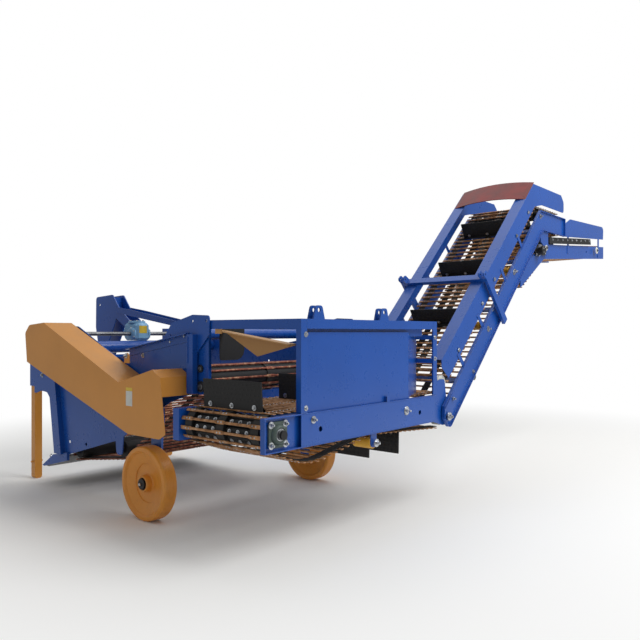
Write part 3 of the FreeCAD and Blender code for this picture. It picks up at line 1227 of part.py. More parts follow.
def discharge_head():
    half = "(head_side / 2)"
    near = "(%s + beam_t + head_in)" % NEAR_WEB
    far = "(%s - head_in - beam_t)" % FAR_WEB
    sides = [
        plate("head_side_near", "XZ", head_outline(half, half), near, "beam_t", [("head_end_x - 430", "head_end_z - 40", "12")]),
        plate("head_side_far", "XZ", head_outline(half, half), far, "beam_t", [("head_end_x - 430", "head_end_z - 40", "12")]),
    ]
    cross = box("head_cross", "50", "%s - %s - beam_t" % (far, near), "30", "head_end_x - 700", "%s + beam_t" % near,
                "head_end_z - 65")
    hangers = []
    for name, plate_start, packer_start in (("near", "%s + beam_t" % NEAR_WEB, "%s + beam_t + 10" % NEAR_WEB),
                                            ("far", "%s - 10" % FAR_WEB, "%s - head_in" % FAR_WEB)):
        hangers.append(plate("head_hanger_" + name, "XZ", [
            ("head_knee_x - 60", "head_knee_z - 40"), ("head_knee_x + 60", "head_knee_z - 40"),
            ("head_knee_x + 60", "head_knee_z + 260"), ("head_knee_x - 120", "head_knee_z + 260"),
            ("head_knee_x - 120", "head_knee_z + 80"), ("head_knee_x - 60", "head_knee_z + 55"),
        ], plate_start, "10"))
        hangers.append(box("head_packer_" + name, "100", "head_in - 10", "90", "head_knee_x - 50", packer_start,
                           "head_knee_z - 30"))
    node("head_frame", fuse("head_frame_set", *sides, cross, *hangers))
    boards = []
    for name, start in (("near", near), ("far", far)):
        boards.append(plate("head_board_" + name, "XZ", [
            ("head_knee_x + 500", "head_end_z + 50"), ("head_end_x + head_lip - 25", "head_end_z + head_side / 2 + 85"),
            ("head_end_x + head_lip - 10", "head_end_z + 298"), ("head_knee_x + 720", "head_end_z + 255"),
            ("head_knee_x + 500", "head_end_z + 160"),
        ], "%s - 5" % start if name == "near" else "%s + beam_t" % start, "5", rounds=[(2, "50"), (3, "60")]))
        stays = [box("head_stay_%s" % name, "40", "5", "230", at, "%s - 5" % start if name == "near" else "%s + beam_t" % start,
                     "head_end_z - %d" % low) for at, low in (("head_knee_x + 640", 110), ("head_end_x - 60", 70))]
        boards[-1] = fuse("head_board_and_stays_" + name, boards[-1], *stays)
    node("head_boards", group("head_board_pair", *boards))
    wheels = wheels_of(
        ("head_tail_x", "head_tail_z", "head_r", "-1"),
        ("head_knee_x", "head_knee_z", "head_r", "-1"),
        ("head_end_x", "head_end_z", "head_r", "-1"),
        ("head_knee_x + 60", "head_knee_z - head_r - 50", "50", "1"),
    )
    length = worth("%s - %s - beam_t - 2 * rod_gap" % (far, near))
    straps = [20, length - 20 - size("band_w")]
    belt = rod_belt(wheels, True, worth("%s + beam_t + rod_gap" % near), length, straps, outside=1)
    node("head_belt", shaped("head_belt_loop", belt))
    shaft = (worth("%s + beam_t" % near), worth("%s - %s - beam_t" % (far, near)))
    rollers = [strap_wheels((size("head_%s_x" % where), size("head_%s_z" % where)), worth("head_r - rod_t / 2 - band_t - 1"),
                            shaft, worth("%s + beam_t + rod_gap" % near), straps, 20) for where in ("tail", "knee", "end")]
    node("head_rollers", shaped("head_roller_set", Part.makeCompound(rollers)))
    motor = plate("motor_body", "XZ", [
        ("head_knee_x - 225", "head_knee_z - 60"), ("head_knee_x - 75", "head_knee_z - 60"),
        ("head_knee_x - 75", "head_knee_z + 40"), ("head_knee_x - 225", "head_knee_z + 40"),
    ], "%s - 90" % near, "90", rounds=[(0, "15"), (1, "15"), (2, "15"), (3, "15")])
    node("head_motor", motor)


# ---------------------------------------------------------------- the whole machine
def build():
    digger_sides()
    stands()
    hitch()
    driveline()
    chain_guard()
    shovel()
    primary_web()
    gauge_wheels()
    box_frame()
    conveyor_frame()
    panels()
    cross_belt()
    bearings()
    hold_down_wheels()
    elevator_frame()
    elevator_belt()
    discharge_head()


def check_and_write():
    doc.recompute()
    failed = [thing.Name for thing in doc.Objects if "Invalid" in thing.State or "Error" in thing.State]
    if failed:
        raise RuntimeError("these objects failed: %s" % ", ".join(failed))
    os.makedirs("parts", exist_ok=True)
    for name, thing in nodes:
        shape = thing.Shape
        if shape.isNull() or not shape.isValid() or not shape.Solids:
            raise RuntimeError("%s has no valid shape" % name)
    for name, thing in nodes:
        thing.Shape.exportStep("parts/%s.step" % name)
    print(len(nodes), "pieces written")


build()
check_and_write()
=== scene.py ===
import json
import math
import random

import bpy
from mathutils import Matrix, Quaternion, Vector


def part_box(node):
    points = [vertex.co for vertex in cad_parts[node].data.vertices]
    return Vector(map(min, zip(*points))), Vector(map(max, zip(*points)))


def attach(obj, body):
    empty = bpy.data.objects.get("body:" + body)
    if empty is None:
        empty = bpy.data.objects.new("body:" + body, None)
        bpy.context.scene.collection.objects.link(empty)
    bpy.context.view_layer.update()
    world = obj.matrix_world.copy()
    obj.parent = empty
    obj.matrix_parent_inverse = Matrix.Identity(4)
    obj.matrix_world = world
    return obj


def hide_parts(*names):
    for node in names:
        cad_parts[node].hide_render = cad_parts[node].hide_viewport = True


bl_info = {
    "name": "Peanut harvester",
    "version": (1, 0, 0),
    "blender": (4, 5, 0),
    "location": "View3D > Sidebar > Harvester",
    "description": "Finishes a three-point-hitch peanut harvester: rod belts, wheels, bolts, rubber and paint",
    "category": "Object",
}

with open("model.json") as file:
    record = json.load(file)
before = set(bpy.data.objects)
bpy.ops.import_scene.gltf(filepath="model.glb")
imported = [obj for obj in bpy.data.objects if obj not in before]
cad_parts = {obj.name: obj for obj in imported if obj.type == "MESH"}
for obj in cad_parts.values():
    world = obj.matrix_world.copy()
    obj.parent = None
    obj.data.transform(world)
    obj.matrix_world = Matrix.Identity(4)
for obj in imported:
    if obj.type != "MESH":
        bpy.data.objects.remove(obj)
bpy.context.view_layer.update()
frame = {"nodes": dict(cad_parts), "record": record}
CAD = frame["nodes"]


def node_box(name):
    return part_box(name)


def datum():
    """The floor under the middle of the conveyor's rear beam, which every place below is told from."""
    low, high = node_box("box_frame")
    return Vector(((low.x + high.x) / 2, low.y, 0))


DATUM = datum()

# ---------------------------------------------------------------- sizes, in metres from the datum
HALF_WIDTH = 0.730  # the side plates' outer faces
BOX_TOP = 1.340
RAIL = 0.056  # height of the box's top rail
PIVOT = (0.900, 0.638)  # X and Z of the elevator's hinge
LEAN = math.radians(43.5)  # the elevator's slope
KNEE = (2.433, 0.010)  # along the elevator and out from it
END_ROLLER = (-0.895, 0.713, 0.105)  # X, Z and radius to the rods
# The rods of the cross conveyor and the elevator, and the straps that carry them.
ROD_START = 0.040
ROD_LENGTH = 0.678
WEB_WIDE = 1.420
STRAP_WIDE = 0.060
STRAP_THICK = 0.006
STRAP_SEAT = 0.0025
EDGE_STRAP = 0.030
FLAT_RUNOUT = 0.012  # from a rod's flat to its round
BEND_STEP = math.radians(9)
BELT_FACE = 0.094  # from a rod's end to a flight
FLIGHT_BOLT = 0.026  # height of a flight's bolts above the rods

REAR = (0, -1, 0)
FRONT = (0, 1, 0)
UP = (0, 0, 1)

# Linear colours and dust shared by every enamel.
RUBBED = (0.55, 0.6, 0.68, 1)
DUST = "#8E8578"


def circle(count, radius, start=0.0):
    """Even points round a circle as pairs, beginning at a share of one step."""
    turns = [2 * math.pi * (step + start) / count for step in range(count)]
    return [(radius * math.cos(turn), radius * math.sin(turn)) for turn in turns]


def spot(x, y, z):
    """A place told from the datum, in the frame's own metres."""
    return Vector((DATUM.x + x, DATUM.y + y, z))


def slope(u, n):
    """X and Z of a point u along the elevator from its pivot and n above the line of the pivot."""
    along, up = math.cos(LEAN), math.sin(LEAN)
    return PIVOT[0] + u * along - n * up, PIVOT[1] + u * up + n * along


# ---------------------------------------------------------------- properties
class HarvesterSizes(bpy.types.PropertyGroup):
    rod_diameter: bpy.props.FloatProperty(
        name="Rod diameter", description="Round steel rods of every belt", default=0.0155, min=0.004,
        unit="LENGTH")
    rod_pitch: bpy.props.FloatProperty(
        name="Rod pitch", description="Spacing of the rods along a belt", default=0.058, min=0.02,
        unit="LENGTH")
    flight_height: bpy.props.FloatProperty(
        name="Flight height", description="Height of the cross conveyor's flights above the rods",
        default=0.172, unit="LENGTH")
    bolt: bpy.props.FloatProperty(
        name="Bolt", description="Width across the flats of a frame bolt's head", default=0.019,
        unit="LENGTH")
    weld: bpy.props.FloatProperty(
        name="Weld", description="Radius of a weld bead", default=0.004, unit="LENGTH")
    orange_peel: bpy.props.FloatProperty(
        name="Orange peel", description="Size of the ripple in the sprayed paint", default=0.003,
        unit="LENGTH")


def linear(colour):
    """An sRGB hex colour as the linear red, green and blue that the shaders want."""
    parts = [int(colour[at:at + 2], 16) / 255 for at in (1, 3, 5)]
    return tuple(part / 12.92 if part <= 0.04045 else ((part + 0.055) / 1.055) ** 2.4 for part in parts)


def colour_property(name, what, value):
    return bpy.props.FloatVectorProperty(
        name=name, description=what, default=linear(value), size=3, subtype="COLOR", min=0, max=1)


class HarvesterColours(bpy.types.PropertyGroup):
    frame_blue: colour_property("Frame", "Blue enamel of frames, beams and boards", "#134DA3")
    guard_orange: colour_property("Guard", "Orange enamel of the chain guard and stand legs", "#CC8A38")
    wheel_orange: colour_property("Wheels", "Cast polyurethane of the gauge wheels", "#D99036")
    rod_brown: colour_property("Rods", "Oiled and lightly rusted rods", "#AC7B50")
    rubber_red: colour_property("Hood", "Dark red rubber hood", "#5E1D1B")
    floor: colour_property("Floor", "Plain pale floor", "#F4F4F2")


# ---------------------------------------------------------------- materials
def add(tree, kind, inputs=None, **settings):
    """Adds a node with its settings, its constant inputs and its incoming links."""
    node = tree.nodes.new(kind)
    for name, value in settings.items():
        setattr(node, name, value)
    for name, value in (inputs or {}).items():
        socket = node.inputs[name]
        if isinstance(value, bpy.types.NodeSocket):
            tree.links.new(value, socket)
        else:
            socket.default_value = value
    return node


def start_material(name):
    """A new material with an empty tree, and its object coordinates."""
    material = bpy.data.materials.new(name)
    material.use_nodes = True
    tree = material.node_tree
    tree.nodes.clear()
    where = add(tree, "ShaderNodeTexCoord").outputs["Object"]
    return material, tree, where


def close_material(tree, **inputs):
    """The shader at the end of a tree, with sockets named in plain words."""
    names = {key: key.replace("_", " ").title().replace("Ior", "IOR") for key in inputs}
    shader = add(tree, "ShaderNodeBsdfPrincipled", {names[key]: value for key, value in inputs.items()})
    add(tree, "ShaderNodeOutputMaterial", {"Surface": shader.outputs["BSDF"]})


def cells(size):
    """The scale of a noise whose cells are a size in millimetres across."""
    return 1000 / size


def shades(tree, factor, *stops):
    """Blends hex colours along a factor; each stop is a place and a colour."""
    ramp = add(tree, "ShaderNodeValToRGB", {"Fac": factor})
    elements = ramp.color_ramp.elements
    while len(elements) < len(stops):
        elements.new(0.5)
    for element, (place, colour) in zip(elements, stops):
        element.position = place
        element.color = (*(linear(colour) if isinstance(colour, str) else colour), 1)
    return ramp.outputs["Color"]


def scaled(colour, share):
    return tuple(part * share for part in colour)


def enamel(name, colour, roughness):
    """Sprayed enamel on fabricated steel: an even, deep colour with a satin gloss, a fine ripple, a thin
    film of dust on what faces up, and slightly paler rubbed edges."""
    material, tree, where = start_material(name)
    sizes = bpy.context.scene.harvester_sizes
    # The coat's depth drifts a little across a panel.
    cloud = add(tree, "ShaderNodeTexNoise",
                {"Vector": where, "Scale": cells(454.5), "Detail": 4.0, "Roughness": 0.6})
    paint = shades(tree, cloud.outputs["Fac"], (0.3, scaled(colour, 0.94)), (0.7, scaled(colour, 1.05)))
    # Handling rubs the paint pale on the edges, in patches.
    rounded = add(tree, "ShaderNodeBevel", {"Radius": 0.0012}, samples=4)
    facing = add(tree, "ShaderNodeNewGeometry")
    square = add(tree, "ShaderNodeVectorMath", {0: rounded.outputs["Normal"], 1: facing.outputs["Normal"]},
                 operation="DOT_PRODUCT")
    scuff = add(tree, "ShaderNodeTexNoise", {"Vector": where, "Scale": cells(16.667), "Detail": 3.0})
    edge = add(tree, "ShaderNodeMapRange",
               {"Value": square.outputs["Value"], "From Min": 0.985, "From Max": 0.9, "To Max": 0.28})
    worn = add(tree, "ShaderNodeMath", {0: edge.outputs["Result"], 1: scuff.outputs["Fac"]},
               operation="MULTIPLY")
    pale = add(tree, "ShaderNodeMix", {"Factor": worn.outputs["Value"], "A": paint, "B": RUBBED},
               data_type="RGBA")
    # Dust settles on what faces up.
    up = add(tree, "ShaderNodeSeparateXYZ", {"Vector": facing.outputs["Normal"]})
    settled = add(tree, "ShaderNodeTexNoise",
                  {"Vector": where, "Scale": cells(111.11), "Detail": 6.0, "Roughness": 0.7})
    lying = add(tree, "ShaderNodeMath", {0: up.outputs["Z"], 1: settled.outputs["Fac"]},
                operation="MULTIPLY", use_clamp=True)
    film = add(tree, "ShaderNodeMapRange",
               {"Value": lying.outputs["Value"], "From Min": 0.25, "From Max": 0.75, "To Max": 0.16})
    dusty = add(tree, "ShaderNodeMix",
                {"Factor": film.outputs["Result"], "A": pale.outputs["Result"], "B": (*linear(DUST), 1)},
                data_type="RGBA")
    matt = add(tree, "ShaderNodeMapRange",
               {"Value": settled.outputs["Fac"], "To Min": roughness - 0.05, "To Max": roughness + 0.08})
    # The gun leaves a ripple like the skin of an orange, drawn about three times coarser than it is.
    ripple = add(tree, "ShaderNodeTexNoise",
                 {"Vector": where, "Scale": 0.35 / sizes.orange_peel, "Detail": 2.0})
    relief = add(tree, "ShaderNodeBump",
                 {"Height": ripple.outputs["Fac"], "Strength": 0.05, "Distance": 0.0004,
                  "Normal": rounded.outputs["Normal"]})
    close_material(tree, base_color=dusty.outputs["Result"], roughness=matt.outputs["Result"],
                   normal=relief.outputs["Normal"])
    return material


def rolled_rod(name, colour):
    """Hot rolled rod, oiled and lightly rusted: brown with darker patches and a dull metal gleam."""
    material, tree, where = start_material(name)
    patches = add(tree, "ShaderNodeTexNoise", {"Vector": where, "Scale": cells(35.714), "Detail": 5.0})
    share = patches.outputs["Fac"]
    tint = shades(tree, share, (0.28, scaled(colour, 0.4)), (0.5, colour), (0.75, "#C7A07A"))
    rough = add(tree, "ShaderNodeMapRange", {"Value": share, "To Min": 0.6, "To Max": 0.32})
    relief = add(tree, "ShaderNodeBump", {"Height": share, "Strength": 0.1, "Distance": 0.0005})
    close_material(tree, base_color=tint, metallic=0.5, roughness=rough.outputs["Result"],
                   normal=relief.outputs["Normal"])
    return material


def steel(name, colour, roughness, grain=11.111):
    """Bare or plated steel: a metal with fine drawn grain and a few darker stains."""
    material, tree, where = start_material(name)
    # The real grain is well under a millimetre, too fine to show, so it is drawn coarser.
    along, across = cells(grain), cells(grain / 4)
    drawn = add(tree, "ShaderNodeMapping", {"Vector": where, "Scale": (across, along, across)})
    lines = add(tree, "ShaderNodeTexNoise",
                {"Vector": drawn.outputs["Vector"], "Scale": 1.0, "Detail": 3.0})
    stain = add(tree, "ShaderNodeTexNoise", {"Vector": where, "Scale": cells(71.429), "Detail": 5.0})
    tint = shades(tree, stain.outputs["Fac"], (0.35, scaled(linear(colour), 0.6)), (0.6, linear(colour)))
    rough = add(tree, "ShaderNodeMapRange",
                {"Value": lines.outputs["Fac"], "To Min": roughness - 0.08, "To Max": roughness + 0.12})
    relief = add(tree, "ShaderNodeBump",
                 {"Height": lines.outputs["Fac"], "Strength": 0.05, "Distance": 0.001})
    close_material(tree, base_color=tint, metallic=1.0, roughness=rough.outputs["Result"],
                   normal=relief.outputs["Normal"])
    return material


def rubber(name, colour, roughness=0.62, weave=0.0):
    """Moulded or ply rubber: dark and dull, with a fine grain or the print of its canvas ply."""
    material, tree, where = start_material(name)
    # The grain is about a millimetre on the real rubber, and is drawn coarser to show.
    grit = add(tree, "ShaderNodeTexNoise", {"Vector": where, "Scale": cells(3.8462), "Detail": 3.0})
    smear = add(tree, "ShaderNodeTexNoise", {"Vector": where, "Scale": cells(142.86), "Detail": 5.0})
    tint = shades(tree, smear.outputs["Fac"], (0.35, colour), (0.8, scaled(colour, 2.2)))
    height = grit.outputs["Fac"]
    if weave:
        # Canvas ply shows as a square weave, whose squares are given in metres.
        cloth = add(tree, "ShaderNodeTexChecker", {"Vector": where, "Scale": 1 / weave})
        height = add(tree, "ShaderNodeMath", {0: cloth.outputs["Fac"], 1: grit.outputs["Fac"]},
                     operation="ADD").outputs["Value"]
    relief = add(tree, "ShaderNodeBump", {"Height": height, "Strength": 0.22, "Distance": 0.0012})
    rough = add(tree, "ShaderNodeMapRange",
                {"Value": smear.outputs["Fac"], "To Min": roughness - 0.1, "To Max": roughness + 0.15})
    close_material(tree, base_color=tint, roughness=rough.outputs["Result"],
                   normal=relief.outputs["Normal"])
    return material


def nylon(name, colour, roughness=0.42):
    """Turned nylon or cast polyurethane: a soft even colour with turning marks and some soil."""
    material, tree, where = start_material(name)
    soil = add(tree, "ShaderNodeTexNoise",
               {"Vector": where, "Scale": cells(55.556), "Detail": 6.0, "Roughness": 0.65})
    base = linear(colour) if isinstance(colour, str) else colour
    tint = shades(tree, soil.outputs["Fac"],
                  (0.25, scaled(base, 0.85)), (0.45, base), (0.8, scaled(base, 1.06)))
    # Turning marks are finer than this on the real piece.
    marks = add(tree, "ShaderNodeTexNoise", {"Vector": where, "Scale": cells(5.5556), "Detail": 2.0})
    relief = add(tree, "ShaderNodeBump",
                 {"Height": marks.outputs["Fac"], "Strength": 0.08, "Distance": 0.001})
    close_material(tree, base_color=tint, roughness=roughness, normal=relief.outputs["Normal"],
                   subsurface_weight=0.06, subsurface_scale=0.01)
    return material


def cast_iron(name, colour):
    """A painted casting: a coarse sand-cast skin under thin paint."""
    material, tree, where = start_material(name)
    # Sand leaves a skin of about a millimetre, drawn coarser to show.
    sand = add(tree, "ShaderNodeTexNoise", {"Vector": where, "Scale": cells(3.125), "Detail": 4.0})
    patch = add(tree, "ShaderNodeTexNoise", {"Vector": where, "Scale": cells(50), "Detail": 4.0})
    tint = shades(tree, patch.outputs["Fac"], (0.35, scaled(linear(colour), 0.7)), (0.7, linear(colour)))
    relief = add(tree, "ShaderNodeBump",
                 {"Height": sand.outputs["Fac"], "Strength": 0.35, "Distance": 0.001})
    close_material(tree, base_color=tint, roughness=0.5, metallic=0.2, normal=relief.outputs["Normal"])
    return material


def stock():
    """Every finish on the machine, by the name of the record's slot it belongs to."""
    colours = bpy.context.scene.harvester_colours
    return {
        "paint_blue": enamel("blue_enamel", tuple(colours.frame_blue), 0.27),
        "paint_orange": enamel("orange_enamel", tuple(colours.guard_orange), 0.3),
        "paint_pale": enamel("pale_blue_enamel", linear("#7FAFD2"), 0.4),
        "paint_dark": enamel("black_enamel", linear("#17181A"), 0.45),
        "steel_rods": rolled_rod("rolled_steel_rod", tuple(colours.rod_brown)),
        "web_rods": rolled_rod("rusted_web_rod", linear("#8A4A36")),
        "steel_bare": steel("drawn_steel", "#85878A", 0.42),
        "zinc": steel("zinc_plate", "#C9CCD0", 0.28, 6.25),
        "cast_grey": cast_iron("grey_green_casting", "#56655F"),
        "plastic_white": nylon("white_nylon", "#DADAD2"),
        "plastic_yellow": nylon("yellow_nylon", "#D9A638"),
        "wheel_orange": nylon("cast_polyurethane", tuple(colours.wheel_orange), 0.38),
        "rubber_black": rubber("black_rubber", linear("#131314")),
        "belt_ply": rubber("canvas_ply_belting", linear("#1B1A19"), 0.7, 0.004),
        "rubber_red": rubber("red_rubber_sheet", tuple(colours.rubber_red), 0.5),
        "label_white": nylon("bare_white_label", "#C9C9C4", 0.35),
        "label_yellow": nylon("bare_yellow_label", "#D8B73A", 0.35),
        "sheet_tan": enamel("tan_enamel", linear("#BE8E54"), 0.45),
    }


FINISH = {}


# ---------------------------------------------------------------- mesh building
class Solid:
    """Vertices and faces gathered for one piece; each face knows its finish."""

    def __init__(self):
        self.points = []
        self.faces = []
        self.finishes = []
        self.slots = []

    def slot(self, finish):
        """The place of a finish among this piece's materials."""
        if finish not in self.slots:
            self.slots.append(finish)
        return self.slots.index(finish)

    def put(self, points, faces, finish):
        """Adds points and faces told by their numbers among those points."""
        first = len(self.points)
        self.points.extend(points)
        self.faces.extend([tuple(first + at for at in face) for face in faces])
        self.finishes.extend([self.slot(finish)] * len(faces))

    def rings(self, rings, finish, capped=True, closed=False):
        """Joins rings of equally many points into a skin."""
        count = len(rings[0])
        points = [point for ring in rings for point in ring]
        faces = []
        pairs = len(rings) if closed else len(rings) - 1
        for number in range(pairs):
            a, b = number * count, (number + 1) % len(rings) * count
            for at in range(count):
                after = (at + 1) % count
                faces.append((a + at, a + after, b + after, b + at))
        if capped and not closed:
            faces.append(tuple(reversed(range(count))))
            faces.append(tuple(range(len(points) - count, len(points))))
        self.put(points, faces, finish)

    def lathe(self, centre, axis, profile, finish, steps=32, closed=False):
        """Turns a profile of (along, radius) about an axis."""
        axis = Vector(axis).normalized()
        side = axis.orthogonal().normalized()
        rings = []
        for along, radius in profile:
            ring = []
            for step in range(steps):
                turn = Quaternion(axis, 2 * math.pi * step / steps)
                ring.append(centre + axis * along + turn @ (side * radius))
            rings.append(ring)
        self.rings(rings, finish, capped=not closed, closed=closed)

    def block(self, low, high, finish, bevel=0.0):
        """A box between two corners, with its upright and level edges broken by a bevel."""
        low, high = Vector(low), Vector(high)
        b = min([bevel] + [0.49 * (high[i] - low[i]) for i in range(3)])
        xs = (low.x, low.x + b, high.x - b, high.x)
        ys = (low.y, low.y + b, high.y - b, high.y)
        rings = []
        for z, inset in ((low.z, 1), (low.z + b, 0), (high.z - b, 0), (high.z, 1)):
            x0, x3 = (xs[1], xs[2]) if inset else (xs[0], xs[3])
            y0, y3 = (ys[1], ys[2]) if inset else (ys[0], ys[3])
            rings.append([Vector(p) for p in (
                (xs[1], y0, z), (xs[2], y0, z), (x3, ys[1], z), (x3, ys[2], z),
                (xs[2], y3, z), (xs[1], y3, z), (x0, ys[2], z), (x0, ys[1], z))])
        self.rings(rings, finish)

    def slab(self, outline, push, finish):
        """A flat outline pushed along a vector."""
        push = Vector(push)
        outline = [Vector(point) for point in outline]
        self.rings([outline, [point + push for point in outline]], finish)

    def bolt(self, at, out, wide, finish="zinc", washer=True, stub=0.0):
        """A hexagon head on a washer, standing out from a face, with a stub of thread if asked for."""
        out = Vector(out).normalized()
        start = 0.0
        if washer:
            start = wide * 0.14
            rim = wide * 1.05
            self.lathe(at, out, [(0, rim), (start, rim), (start, wide * 0.5)], finish, 16)
        side = out.orthogonal().normalized()
        turn = Quaternion(out, random.uniform(0, math.pi / 3))
        radius = wide / math.sqrt(3)
        shoulder, crown = wide * 0.5, wide * 0.62
        rings = []
        for along, share in ((start, 1), (start + shoulder, 1), (start + crown, 0.84)):
            corners = [turn @ Quaternion(out, math.pi / 3 * step) @ (side * radius * share)
                       for step in range(6)]
            rings.append([at + out * along + corner for corner in corners])
        self.rings(rings, finish)
        if stub:
            top = start + wide * 0.6
            thread, chamfer = wide * 0.32, wide * 0.26
            profile = [(top, thread), (top + stub, thread), (top + stub + 0.001, chamfer)]
            self.lathe(at, out, profile, finish, 12)

    def disc(self, at, out, radius, thick, bore, steps=32):
        """A plated washer wider than a bolt's own."""
        self.lathe(at, out, [(0, radius), (thick, radius), (thick, bore)], "zinc", steps)

    def pierced(self, low, high, holes, radius, finish, steps=24):
        """An upright sheet across the machine, between two corners, with round holes right through it."""
        pad = radius * 1.8
        for y, front in ((low.y, True), (high.y, False)):
            panes = []
            left = low.x
            for x, z in holes:
                panes.append((left, x - pad, low.z, high.z))
                panes.append((x - pad, x + pad, low.z, z - pad))
                panes.append((x - pad, x + pad, z + pad, high.z))
                left = x + pad
                turns = circle(steps, 1.0)
                square = []
                hole = []
                for c, s in turns if front else reversed(turns):
                    reach = pad / max(abs(c), abs(s))
                    square.append(Vector((x + reach * c, y, z + reach * s)))
                    hole.append(Vector((x + radius * c, y, z + radius * s)))
                self.rings([square, hole], finish, capped=False)
                if front:
                    deep = [Vector((point.x, high.y, point.z)) for point in hole]
                    self.rings([hole, deep], finish, capped=False)
            panes.append((left, high.x, low.z, high.z))
            for x0, x1, z0, z1 in panes:
                corners = [Vector((x, y, z)) for x, z in ((x0, z0), (x1, z0), (x1, z1), (x0, z1))]
                self.put(corners if front else corners[::-1], [(0, 1, 2, 3)], finish)
        corners = ((low.x, low.z), (low.x, high.z), (high.x, high.z), (high.x, low.z))
        rim = [Vector((x, low.y, z)) for x, z in corners]
        back = [Vector((x, high.y, z)) for x, z in corners]
        self.rings([rim, back], finish, capped=False)

    def bead(self, path, radius, finish, steps=6):
        """A weld bead: a rippled round run along a path, thinned at both ends."""
        spots = []
        for start, end in zip(path, path[1:]):
            way = (end - start).normalized()
            count = max(1, int((end - start).length / (radius * 1.6)))
            spots += [(start.lerp(end, step / count), way) for step in range(count)]
        spots.append((path[-1], way))
        rings = []
        for number, (at, way) in enumerate(spots):
            size = radius * (1.12 if number % 2 else 0.9)
            if number in (0, len(spots) - 1):
                size *= 0.4
            side = way.orthogonal().normalized()
            other = way.cross(side)
            rings.append([at + side * a + other * b for a, b in circle(steps, size)])
        self.rings(rings, finish)

    def finish(self, name, body, smooth=35.0, replaces=(), slot=None):
        """Turns what was gathered into a piece that rides on a body."""
        mesh = bpy.data.meshes.new(name)
        mesh.from_pydata([tuple(point) for point in self.points], [], self.faces)
        for finish in self.slots:
            mesh.materials.append(FINISH[finish])
        mesh.polygons.foreach_set("material_index", self.finishes)
        mesh.polygons.foreach_set("use_smooth", [True] * len(mesh.polygons))
        mesh.set_sharp_from_angle(angle=math.radians(smooth))
        mesh.validate()
        mesh.update()
        piece = bpy.data.objects.new(name, mesh)
        bpy.context.scene.collection.objects.link(piece)
        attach(piece, body)
        if replaces:
            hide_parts(*replaces)
        return piece


# ---------------------------------------------------------------- belt paths
def tangent_path(wheels):
    """Straight runs and arcs round a list of wheels: (a, z, radius, turn), turn +1 for leftward."""
    headings = []
    for (ax, az, ar, at), (bx, bz, br, bt) in zip(wheels, wheels[1:]):
        far = math.hypot(bx - ax, bz - az)
        headings.append(math.atan2(bz - az, bx - ax) - math.asin((bt * br - at * ar) / far))
    runs = []
    for number, heading in enumerate(headings):
        left = (-math.sin(heading), math.cos(heading))
        ends = [(x - turn * r * left[0], z - turn * r * left[1])
                for x, z, r, turn in wheels[number:number + 2]]
        if number:
            x, z, radius, turn = wheels[number]
            bend = (heading - headings[number - 1]) * turn % (2 * math.pi)
            if 1e-6 < bend < 2 * math.pi - 1e-6:
                runs.append(("arc", (x, z), radius, headings[number - 1] - turn * math.pi / 2, turn * bend))
        runs.append(("line", ends[0], ends[1]))
    return runs


def run_length(run):
    """The length of one straight run or arc of a path."""
    return math.dist(run[1], run[2]) if run[0] == "line" else run[2] * abs(run[4])


def on_path(runs, along):
    """Where a path is at a distance along it, and its heading there."""
    for run in runs:
        far = run_length(run)
        if along <= far or run is runs[-1]:
            break
        along -= far
    if run[0] == "line":
        (ax, az), (bx, bz) = run[1:]
        heading = math.atan2(bz - az, bx - ax)
        return ax + along * math.cos(heading), az + along * math.sin(heading), heading
    (cx, cz), radius, begin, bend = run[1:]
    angle = begin + bend * along / far
    heading = angle + math.copysign(math.pi / 2, bend)
    return cx + radius * math.cos(angle), cz + radius * math.sin(angle), heading


